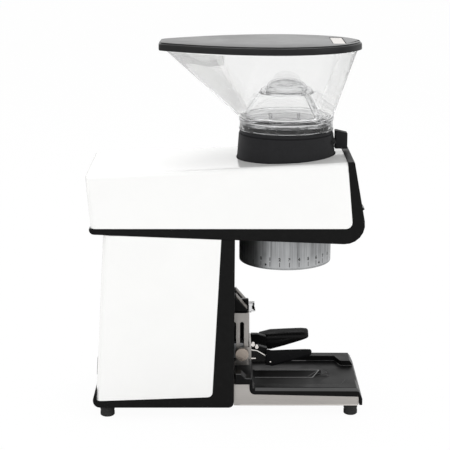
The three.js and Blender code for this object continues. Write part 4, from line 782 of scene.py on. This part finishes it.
def kept_inside(piece, node):
    """Pulls a piece's points back into the box of its CAD node"""
    low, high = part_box(node)
    put_points(piece, lambda place: [min(max(c, least), most) for c, least, most in zip(place, low, high)])


def plate(name, points, step):
    """Flat outline filled and drawn out along a step"""
    piece = traced(name, points)
    with bench(piece):
        bpy.ops.mesh.edge_face_add()
        bpy.ops.mesh.extrude_region_move(TRANSFORM_OT_translate={"value": step})
        face_out(piece)
    return piece


def rest(piece, body, material, stands_for=(), smooth=35, flat=False):
    """Last step of every piece: place in the mesh, smooth shading, finish, body and CAD nodes"""
    settled(piece)
    bpy.ops.object.shade_smooth_by_angle(angle=math.radians(smooth))
    if flat:
        modify(piece, "WEIGHTED_NORMAL", weight=90, keep_sharp=True)
    piece.data.name = piece.name
    piece.data.materials.clear()
    piece.data.materials.append(finish(material))
    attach(piece, body)
    if stands_for:
        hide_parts(*stands_for)
    return piece


def body_of(node):
    """CAD body of a node"""
    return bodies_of(frame["nodes"][node])[0]


def dressed(node, material, edge, angle=40, steps=2):
    """CAD form with rounded edges and smooth faces, in place of its node"""
    piece = round_edges(copy_of(node), edge, angle, steps)
    kept_inside(piece, node)
    return rest(piece, body_of(node), material, [node], flat=True)


# Operators: one for each piece or group of like pieces


class GRINDER_OT_stage(bpy.types.Operator):
    """Floor, world, lamps and camera"""
    bl_idname = "grinder.stage"
    bl_label = "Stage"

    def execute(self, context):
        lights = context.scene.grinder_lights
        looking_down = 13.61
        context.scene.view_settings.view_transform = "Standard"
        floor = added(bpy.ops.mesh.primitive_plane_add, "floor", size=60)
        floor.data.materials.append(self.floor_material())
        self.world(context.scene, lights.world)
        target = Vector((0, 0, 0.3))
        for name, strength, size, place in (
                ("key_lamp", lights.key, 1.8, (-1.5, -2.3, 2.0)),
                ("fill_lamp", lights.fill, 1.4, (2.2, -1.5, 1.3)),
                ("top_lamp", lights.top, 1.6, (0.1, 0.4, 2.6)), ("rear_lamp", lights.rear, 1.6, (0.2, 2.4, 1.6))):
            lamp = added(bpy.ops.object.light_add, name, type="AREA", location=place,
                         rotation=(target - Vector(place)).to_track_quat("-Z", "Y").to_euler())
            lamp.data.energy = strength
            lamp.data.size = size
        camera = added(bpy.ops.object.camera_add, location=(-9 * MM, -2271.4 * MM, 844.1 * MM),
                       rotation=(math.radians(90 - looking_down), 0, 0))
        camera.data.lens = 115.6
        camera.data.sensor_width = 36
        camera.data.shift_x = 0.0067
        context.scene.camera = camera
        return {"FINISHED"}

    def floor_material(self):
        """Pale floor: white to the camera with a soft shadow"""
        whiteness = 0.96
        material, tree, bsdf, _ = principled("pale_floor", (1.0, 1.0, 1.0), 0.9, Specular_IOR_Level=0.1)
        rays = tree.nodes.new("ShaderNodeLightPath").outputs
        seen = math_of(tree, "MAXIMUM", rays["Is Camera Ray"], rays["Is Transmission Ray"])
        glow = add_node(tree, "ShaderNodeEmission", {"Color": (1, 1, 1, 1), "Strength": 1.0})
        mix_shaders(tree, math_of(tree, "MULTIPLY", seen, whiteness), bsdf, glow)
        return material

    def world(self, scene, strength):
        """Even light from all sides, white to the camera and in reflections"""
        scene.world = bpy.data.worlds.new("studio")
        scene.world.use_nodes = True
        tree = scene.world.node_tree
        rays = tree.nodes.new("ShaderNodeLightPath").outputs
        seen = math_of(tree, "MAXIMUM", rays["Is Camera Ray"], rays["Is Glossy Ray"])
        seen = math_of(tree, "MAXIMUM", seen, rays["Is Transmission Ray"])
        background = tree.nodes["Background"]
        background.inputs["Color"].default_value = (1, 1, 1, 1)
        tree.links.new(ranged(tree, seen, least=strength, most=1.0), background.inputs["Strength"])


class GRINDER_OT_covers(bpy.types.Operator):
    """Gloss white covers of the head and the column"""
    bl_idname = "grinder.covers"
    bl_label = "Covers"

    def execute(self, context):
        for node in ("head_cover", "column_cover"):
            dressed(node, "white_paint", context.scene.grinder_sizes.edge, 50)
        return {"FINISHED"}


class GRINDER_OT_frames(bpy.types.Operator):
    """Satin black frames of the head and the column, with a filler in the slot on each side of the column"""
    bl_idname = "grinder.frames"
    bl_label = "Frames"

    def execute(self, context):
        for node in ("head_frame", "column_frame"):
            dressed(node, "black_paint", context.scene.grinder_sizes.edge)
        slot = ((-23.6, 47.8), (-15.8, 47.8), (-15.8, 180.6), (-16.1, 180.6))
        half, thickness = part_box("column_frame")[1].y, 1.5 * MM
        fillers = [plate("column_fillers", [(x * MM, side * half, z * MM) for x, z in slot], (0, -side * thickness, 0))
                   for side in (1, -1)]
        rest(joined(fillers), "housing", "black_paint")
        return {"FINISHED"}


class GRINDER_OT_base(bpy.types.Operator):
    """Steel base with a hem of paler steel on each side, painting the floor's reflection, and its rubber feet"""
    bl_idname = "grinder.base"
    bl_label = "Base and feet"

    def execute(self, context):
        base = round_edges(copy_of("base_plate"), context.scene.grinder_sizes.sheet_edge, 30)
        body = body_of("base_plate")
        rest(base, body, "brushed_steel", ["base_plate"], flat=True)
        low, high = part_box("base_plate")
        hems = []
        for side in (1, -1):
            near, far = sorted((side * (high.y - 0.5 * MM), side * (high.y + 0.1 * MM)))
            hems.append(box_between((low.x + 10 * MM, near, low.z), (high.x - 2 * MM, far, low.z + 2.5 * MM)))
        # The hems' paler steel paints the floor's reflection along the foot of each side
        rest(joined(hems, "base_hems"), body, "badge_steel")
        for node in ("foot_front_left", "foot_front_right", "foot_rear_left", "foot_rear_right"):
            radius, _, tall = round_size(node)
            profile = [(0, 0), (radius * 0.82, 0), (radius * 0.9, 0.5 * MM), (radius, 1.8 * MM)]
            profile += [(radius * wide, tall * rise) for wide, rise in (
                (1, 0.42), (0.94, 0.48), (0.94, 0.56), (1, 0.62), (1, 0.84), (0.9, 1), (0, 1))]
            piece = turned(f"{node}_rubber", profile, middle_of(node), 48, closed=False)
            rest(piece, "housing", "foot_rubber", [node])
        return {"FINISHED"}


class GRINDER_OT_tray(bpy.types.Operator):
    """Moulded drip tray with wide shoulders on its side rims, and beads on its edges coloured lighter to paint
    highlights
    """
    bl_idname = "grinder.tray"
    bl_label = "Drip tray"

    def execute(self, context):
        piece, body = copy_of("drip_tray"), body_of("drip_tray")
        put_points(piece, self.shouldered)
        round_edges(piece, 0.9 * MM, 24, 3)
        rest(piece, body, "black_moulding", ["drip_tray"], flat=True)
        ridge = [(45, -3, 47.6), (151, -3, 47.6), (139.5, -24, 42.3), (45, -24, 42.3)]
        shelf = [(45, 70.6, 39), (134, 70.6, 39)]
        beads = [rod("bead", 0.8 * MM, Vector(a) * MM, Vector(b) * MM, 12)
                 for path in (ridge, shelf) for a, b in zip(path, path[1:])]
        # The beads' lighter black is a painted highlight along the tray's ridge and shelf
        rest(joined(beads, "tray_beads"), body, "black_sheen")
        return {"FINISHED"}

    def shouldered(self, place):
        """Place of a point after the side rims' inner edges have become wide sloping shoulders"""
        rear, side, floor, ceiling = 43.5 * MM, 90.7 * MM, 46 * MM, 49 * MM
        if place.x < rear or abs(place.y) < side or not floor < place.z < ceiling:
            return place
        rounding, drop, inner, width, fall = 1.2 * MM, 4.6 * MM, 87.2, 4.8, 0.0043
        top = 48.5 * MM - (place.x - 44 * MM) * fall
        share = min(max((top - place.z) / rounding, 0), 1)
        share = 0.5 if 0.1 < share < 0.8 else round(share)
        return Vector((place.x, math.copysign((inner + width * share) * MM, place.y), top - drop * share))


class GRINDER_OT_ring(bpy.types.Operator):
    """Brushed adjusting ring with its scale and grub screws"""
    bl_idname = "grinder.ring"
    bl_label = "Adjusting ring"

    def execute(self, context):
        radius, foot, top = round_size("adjusting_ring")
        wall, web, sleeve_in, sleeve_out, sleeve_foot = 5, 6 * MM, 58.6 * MM, 63.6 * MM, 262 * MM
        screw_height, screw_radius, play = 245.9 * MM, 1.7 * MM, 0.1 * MM
        outside = stepped(radius, (
            (wall, foot, 0), (0.9, foot, 0), (0.2, foot, 0.7), (0.2, foot, 1.7), (0.9, foot, 1.9), (0.9, foot, 2.5),
            (0, foot, 2.7), (0, top, 0)))
        piece = turned("adjusting_ring_body", outside + [
            (sleeve_in, top), (sleeve_in, sleeve_foot), (sleeve_out, sleeve_foot), (sleeve_out, top - web),
            (radius - wall * MM, top - web)], RING_AXIS, 144)
        screws = []
        for angle in (-26.7, 44.8):
            outward = self.outward(angle)
            level = RING_AXIS + UP * screw_height
            bottom, mouth = level + outward * (radius - 3 * MM), level + outward * (radius + MM)
            cut_away(piece, rod("bore", screw_radius + play, bottom, mouth))
            screws.append(rod("ring_screws", screw_radius, bottom - outward * 0.2 * MM, mouth - outward * 2.2 * MM, 6))
        rest(piece, "ring", "brushed_ring", ["adjusting_ring"], 30)
        rest(joined(screws), "ring", "scale_ink")
        self.scale(context.scene.grinder_sizes, radius + 0.01 * MM)
        return {"FINISHED"}

    def outward(self, angle):
        """Level direction at an angle from the near side towards the front"""
        turn = math.radians(angle)
        return Vector((math.sin(turn), -math.cos(turn), 0))

    def scale(self, sizes, skin):
        """Numbers and lines printed round the near side"""
        first, pitch, tick_foot, number_foot = -33.0, 12.1, 243.2 * MM, 253.2 * MM
        tick_width, digit_share, digit_weight = 1.1 * MM, 0.73, 0.08
        marks = []
        for value in range(-4, 14):
            angle = first + pitch * value
            place = RING_AXIS + self.outward(angle) * skin
            if value in range(9):
                text = added(bpy.ops.object.text_add, location=place + UP * number_foot,
                             rotation=(math.pi / 2, 0, math.radians(angle)))
                text.data.body = str(value)
                text.data.align_x = "CENTER"
                text.data.size = sizes.digit / digit_share
                text.data.extrude = sizes.print / 2
                text.data.offset = digit_weight * sizes.digit
                bpy.ops.object.convert(target="MESH")
                marks.append(settled(bpy.context.object))
            tick = added(bpy.ops.mesh.primitive_cube_add, size=1, rotation=(0, 0, math.radians(angle)),
                         location=place + UP * (tick_foot + sizes.tick / 2))
            tick.scale = (tick_width, sizes.print, sizes.tick)
            marks.append(settled(tick))
        rest(joined(marks, "ring_scale"), "ring", "scale_ink", smooth=20)


class GRINDER_OT_collar(bpy.types.Operator):
    """Hopper collar with its seam and gate slot, and the gate's grip"""
    bl_idname = "grinder.collar"
    bl_label = "Hopper collar and gate grip"

    def execute(self, context):
        wide, foot, top = round_size("hopper_collar")
        inner, narrow, throat, spigot = wide - 8.8 * MM, wide - 3.8 * MM, 27 * MM, 16 * MM
        seam, deck = top - 6.5 * MM, top - 26 * MM
        at_seam = narrow + (wide - narrow) * (top - seam) / (top - foot)
        body = turned("hopper_collar_body", [(inner, foot)] + stepped(wide, ((0.8, foot, 0), (0, foot, 0.8))) + stepped(
            at_seam, ((0.1, seam, -0.9), (0.4, seam, -0.3), (1, seam, 0), (2.4, seam, 0), (2.4, seam, 1.5),
                      (1.3, seam, 1.7))) + stepped(narrow, ((1.1, top, -1.2), (1.5, top, -0.3), (2.2, top, 0))) + [
            (inner, top), (inner, deck + 6 * MM), (throat, deck + 6 * MM), (throat, deck - 6 * MM),
            (spigot, deck - 6 * MM), (spigot, deck), (inner, deck)], COLLAR_AXIS, 144)
        gate_low, gate_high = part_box("gate_slide")
        play, inward, beyond = 0.5 * MM, 12 * MM, 6 * MM
        cut_away(body, box_between(
            (COLLAR_AXIS.x + inner - inward, gate_low.y - play, gate_low.z - play / 2),
            (COLLAR_AXIS.x + wide + beyond, gate_high.y + play, gate_high.z + play)))
        rest(body, "housing", "black_grained", ["hopper_collar"], 30)
        dressed("gate_grip", "black_grained", 1.0 * MM, 30, 3)
        return {"FINISHED"}


class GRINDER_OT_hopper(bpy.types.Operator):
    """Clear neck, eccentric bowl and bean guard"""
    bl_idname = "grinder.hopper"
    bl_label = "Hopper"

    def execute(self, context):
        self.neck()
        self.bowl()
        self.guard()
        return {"FINISHED"}

    def neck(self):
        """Neck with a thick flange above and below, the funnel inside and the ribs between"""
        radius, foot, top = round_size("hopper_neck")
        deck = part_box("hopper_collar")[1].z
        piece = turned("hopper_neck_body", stepped(radius, (
            (51.5, foot, 0), (48.5, foot, 0), (48.5, deck, -8), (8.5, deck, -6), (5.5, deck, -6), (5.5, deck, 0.3),
            (0.4, deck, 0.3), (0.1, deck, 1.2), (1.2, deck, 2.6), (1.2, top, -6.5), (0.1, top, -5), (0, top, -0.8),
            (0.8, top, 0), (4.6, top, 0), (5.2, top, -1), (5.2, top, -4.6), (3.4, top, -6), (3.4, deck, 9),
            (6, deck, 7.5), (14, deck, -1), (51.5, deck, -9))), COLLAR_AXIS, 144)
        ribs = [self.bar(angle, (radius - 13 * MM, radius - 3 * MM), 1.1 * MM, (deck + MM, top - 6 * MM))
                for angle in (-118, -104, -78, -66, -40, -20, 30, 70, 110, 150, 190, 215)]
        rest(joined([piece] + ribs), "hopper", "clear_neck", ["hopper_neck"], 30)

    def bowl(self):
        """Thin wall from the round neck to the lid's leaf-shaped outline"""
        low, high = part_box("hopper_bowl")
        foot_ring, rim_ring = (softened(hull_of("hopper_bowl", height), 3) for height in (low.z, high.z))
        wall, share = 2.6 * MM, 0.03
        rim_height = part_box("hopper_lid")[0].z - 2.5 * MM
        flare = [p.lerp(q, share) for p, q in zip(foot_ring, rim_ring)]
        flare_height = low.z + (rim_height - low.z) * share
        outer = [(foot_ring, low.z), (flare, flare_height), (rim_ring, rim_height), (rim_ring, high.z)]
        rings = [lifted(ring, height) for ring, height in outer]
        rings += [lifted(inset(ring, wall), height) for ring, height in reversed(outer)]
        piece = skinned("hopper_bowl_shell", rings + rings[:1])
        rest(piece, "hopper", "clear_bowl", ["hopper_bowl"], 30)

    def guard(self):
        """Bean guard: foot ring, three sloping legs, a thick band with a lug and a shallow dome"""
        low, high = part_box("bean_guard")
        foot, peak, radius, shoulder, dome = low.z, high.z, 67 * MM, 40 * MM, 31 * MM
        band = foot + 35.8 * MM
        spring = band + 10.5 * MM
        arch = [(math.cos(math.radians(a)), math.sin(math.radians(a))) for a in range(0, 90, 9)]
        profile = stepped(radius, ((3.4, foot, 0), (0, foot, 0), (0, foot, 1.6)))
        profile += stepped(shoulder, ((-0.4, band, 5.5), (1.4, band, 7)))
        profile += [(dome * c, spring + (peak - spring) * h) for c, h in arch] + [(0, peak), (0, peak - 2.4 * MM)]
        profile += [((dome - 2.6 * MM) * c, spring - 2 * MM + (peak - spring - 0.4 * MM) * h)
                    for c, h in reversed(arch)]
        profile += stepped(shoulder, ((3.2, band, 3), (3.6, band, 0), (0.4, band, 0)))
        piece = turned("bean_guard_shell", profile, COLLAR_AXIS, 96)
        windows = rod("windows", radius + 2 * MM, COLLAR_AXIS + UP * (foot + 2.6 * MM), COLLAR_AXIS + UP * band, 96)
        for angle in (-42, 42, 180):
            cut_away(windows, self.bar(angle, (0, radius + 6 * MM), 5 * MM, (foot, band + MM)))
        cut_away(piece, windows)
        lug = self.bar(0, (shoulder - 3 * MM, shoulder + 6 * MM), 3.2 * MM, (band - 2 * MM, band + 1.5 * MM))
        piece = joined([piece, round_edges(lug, 0.5 * MM)])
        rest(piece, "hopper", "clear_guard", ["bean_guard"], 30)

    def bar(self, angle, reach, half, heights):
        """Upright bar on a ray from the collar's axis"""
        ray = Vector((math.cos(math.radians(angle)), math.sin(math.radians(angle)), 0))
        side = Vector((-ray.y, ray.x, 0)) * half
        near, far = (COLLAR_AXIS + ray * r + UP * heights[0] for r in reach)
        return plate("bar", [near - side, far - side, far + side, near + side], UP * (heights[1] - heights[0]))


class GRINDER_OT_lid(bpy.types.Operator):
    """Lid with its stepped edge, and the bare plate in its recess"""
    bl_idname = "grinder.lid"
    bl_label = "Lid"

    def execute(self, context):
        low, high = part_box("hopper_lid")
        foot, top = low.z, high.z
        outline = softened(hull_of("hopper_lid", foot), 4)
        rings = [lifted(inset(outline, move * MM), height + rise * MM) for move, height, rise in (
            (3.4, top, -3.4), (3.3, foot, 0.4), (2.9, foot, 0), (0.6, foot, 0), (0.1, foot, 0.6), (0, foot, 1.4),
            (0.1, top, -4.6), (0.35, top, -3.6), (0.9, top, -2.6), (1.6, top, -2), (2.3, top, -1.75),
            (2.5, top, -1.7), (2.6, top, -0.5), (2.8, top, -0.15), (3.3, top, 0))]
        piece = skinned("hopper_lid_shell", rings, closed=False)
        plate_low, plate_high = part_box("lid_plate")
        margin = 1.2 * MM
        cut_away(piece, box_between((plate_low.x - margin, plate_low.y - margin, plate_low.z - 0.3 * MM),
                                   (plate_high.x + margin, plate_high.y + margin, top + MM)))
        rest(piece, "lid", "lid_plastic", ["hopper_lid"], 30)
        dressed("lid_plate", "badge_steel", 0.15 * MM)
        return {"FINISHED"}


class GRINDER_OT_fork(bpy.types.Operator):
    """Bracket, carriage with its plates, arms, sleeves, knobs and screws"""
    bl_idname = "grinder.fork"
    bl_label = "Fork"

    def execute(self, context):
        dressed("fork_bracket", "upright_steel", 0.3 * MM)
        low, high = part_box("fork_carriage")
        yoke_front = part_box("fork_bracket")[1].x + 3.3 * MM
        margin = Vector((MM, MM, MM))
        for name, finish_name, stands_for, near, far in (
                ("fork_yoke", "upright_steel", ["fork_carriage"], yoke_front, high.x + MM),
                ("fork_plates", "black_gloss", (), low.x - MM, yoke_front)):
            piece = copy_of("fork_carriage", name)
            cut_away(piece, box_between((near, *(low - margin).yz), (far, *(high + margin).yz)))
            rest(round_edges(piece, 0.3 * MM), "fork", finish_name, stands_for, flat=True)
        upper = [(yoke_front, 95.6 * MM)] + [(x * MM, z * MM) for x, z in ((48.1, 94.2), (64.6, 84.3), (67.4, 76.6))]
        back, drop, outside, thickness = 0.5 * MM, 1.3 * MM, 38.31 * MM, 3.03 * MM
        lower = [(x - back, z - drop) for x, z in upper]
        edges = [plate("fork_plate_edges", [(x, side * outside, z) for x, z in upper + lower[::-1]],
                       (0, -side * thickness, 0)) for side in (1, -1)]
        rest(joined(edges), "fork", "polished_nickel")
        # The near sleeve takes a darker copy of the sleeves' black: painted shade
        for side, finish_name, swell, reach, lift in (
                ("left", "black_gloss", 5, 12, 0), ("right", "black_sleeve", 0.3, 3, 3)):
            dressed(f"fork_arm_{side}", "black_moulding", 0.4 * MM, 30)
            self.sleeve(side, finish_name, swell * MM, reach * MM, lift * MM)
            dressed(f"clamp_knob_{side}", "knob_nickel", 0.3 * MM, 50)
        self.screws()
        return {"FINISHED"}

    def screws(self):
        """Screws in the front of the plates, two clamps on the near plate and a stud on the near sleeve"""
        rods = [(2.1, (38.5, side * 36.8, 79.8), (46, side * 36.8, 79.8), 32) for side in (1, -1)]
        rods += [(radius, (x, -41, z), (x, -36, z), 24) for x, z, radius in ((41.3, 104.5, 3.2), (47.4, 100.3, 2.8))]
        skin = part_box("fork_sleeve_right")[0].y / MM
        rods.append((1.1, (69.3, skin - 0.1, 79.5), (69.3, skin + 5, 79.5), 16))
        screws = [rod("fork_screws", radius * MM, Vector(start) * MM, Vector(end) * MM, steps)
                  for radius, start, end, steps in rods]
        rest(joined(screws), "fork", "polished_steel")

    def sleeve(self, side, material, swell, reach, lift):
        """Grip sleeve, its upper side swollen and its rear end drawn out a little"""
        node = f"fork_sleeve_{side}"
        low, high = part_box(node)
        upper, rear = 0.45, low.x + 4 * MM

        def shaped(place):
            """Place of a point in the swollen, longer sleeve"""
            share = (place.z - low.z) / (high.z - low.z)
            at_rear = place.x < rear
            return (place.x - reach * at_rear, place.y, place.z + swell * max(share - upper, 0) / (1 - upper)
                    + lift * (at_rear and share > upper))
        piece = copy_of(node)
        put_points(piece, shaped)
        round_edges(piece, 1.2 * MM, 35, 3)
        rest(piece, body_of(node), material, [node], 40)


class GRINDER_OT_trigger(bpy.types.Operator):
    """Trigger housing with its grey cover and dark seat, the lever and the clip"""
    bl_idname = "grinder.trigger"
    bl_label = "Trigger"

    def execute(self, context):
        dressed("trigger_housing", "black_moulding", 0.4 * MM, 30)
        foot, head, half, gap, thin = Vector((31.9, 161.0)), Vector((13.6, 182.2)), 28.6, 8.5, 0.45
        along = (head - foot).normalized()
        out = Vector((along.y, -along.x)) * thin
        pieces = []
        for low, high in ((-half, -gap), (gap, half)):
            corners = [(p.x * MM, low * MM, p.y * MM) for p in (foot - out, head - out, head + out, foot + out)]
            pieces.append(round_edges(plate("trigger_cover", corners, (0, (high - low) * MM, 0)), 0.2 * MM))
        rest(joined(pieces), body_of("trigger_housing"), "grey_cover")
        low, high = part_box("fork_bracket")
        thick, side, front = 0.6 * MM, 3 * MM, 5 * MM
        seat = box_between((low.x, low.y + side, high.z - thick), (high.x - front, high.y - side, high.z + thick))
        seat.name = "trigger_seat"
        rest(seat, body_of("fork_bracket"), "black_paint")
        dressed("trigger_lever", "black_gloss", 0.3 * MM)
        dressed("trigger_clip", "clear_neck", 0.3 * MM)
        return {"FINISHED"}


class GRINDER_OT_controls(bpy.types.Operator):
    """Display, keys and the mains parts at the back"""
    bl_idname = "grinder.controls"
    bl_label = "Controls and mains parts"

    def execute(self, context):
        dressed("display_glass", "dark_glass", 0.2 * MM)
        for node in ("menu_key_left", "menu_key_right"):
            dressed(node, "polished_steel", 0.3 * MM, 50)
        dressed("start_key", "black_gloss", 0.6 * MM, 40, 3)
        for node in ("power_inlet", "switch_frame", "power_rocker"):
            dressed(node, "black_moulding", 0.3 * MM)
        return {"FINISHED"}


# Finishes of the CAD nodes that are shown as they are
WORKS = {
    "cast_alloy": ("grinding_chamber", "bearing_bridge", "rotor_pulley", "burr_carrier", "motor_body",
                   "motor_pulley", "fork_slider"),
    "ground_steel": ("lower_bearing", "upper_bearing", "rotor_hub", "upper_burr", "lower_burr", "motor_shaft"),
    "black_moulding": ("outlet_funnel", "feed_throat", "cooling_fan"), "black_grained": ("gate_slide",),
    "brushed_steel": ("motor_mount",), "foot_rubber": ("drive_belt",), "drawn_can": ("start_capacitor",),
    "circuit_board": ("control_board",),
}


class GRINDER_OT_hidden(bpy.types.Operator):
    """Works inside the covers, shown as the CAD nodes they are"""
    bl_idname = "grinder.hidden"
    bl_label = "Works inside"

    def execute(self, context):
        for material, nodes in WORKS.items():
            for node in nodes:
                slots = frame["nodes"][node].data.materials
                slots.clear()
                slots.append(finish(material))
        return {"FINISHED"}


OPERATORS = (
    GRINDER_OT_stage, GRINDER_OT_covers, GRINDER_OT_frames, GRINDER_OT_base, GRINDER_OT_tray,
    GRINDER_OT_ring, GRINDER_OT_collar, GRINDER_OT_hopper, GRINDER_OT_lid, GRINDER_OT_fork, GRINDER_OT_trigger,
    GRINDER_OT_controls, GRINDER_OT_hidden,
)


class GRINDER_PT_panel(bpy.types.Panel):
    """Lists the pieces in the 3D view's sidebar"""
    bl_idname = "GRINDER_PT_panel"
    bl_label = "Coffee grinder"
    bl_space_type = "VIEW_3D"
    bl_region_type = "UI"
    bl_category = "Grinder"

    def draw(self, context):
        for operator in OPERATORS:
            self.layout.operator(operator.bl_idname)
        for group in (context.scene.grinder_colours, context.scene.grinder_sizes, context.scene.grinder_lights):
            box = self.layout.box()
            for name in group.__annotations__:
                box.prop(group, name)


GROUPS = {
    "grinder_colours": GrinderColours, "grinder_sizes": GrinderSizes, "grinder_lights": GrinderLights,
}


def register():
    """Registers the classes and the scene's properties"""
    for made in (*GROUPS.values(), *OPERATORS, GRINDER_PT_panel):
        bpy.utils.register_class(made)
    for name, made in GROUPS.items():
        setattr(bpy.types.Scene, name, bpy.props.PointerProperty(type=made))


def unregister():
    """Removes what register added"""
    for name in GROUPS:
        delattr(bpy.types.Scene, name)
    for made in (GRINDER_PT_panel, *reversed(OPERATORS), *GROUPS.values()):
        bpy.utils.unregister_class(made)


def main():
    """Registers the add-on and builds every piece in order"""
    register()
    for operator in OPERATORS:
        step = operator.bl_idname.split(".")[1]
        getattr(bpy.ops.grinder, step)()


if __name__ == "__main__":
    main()
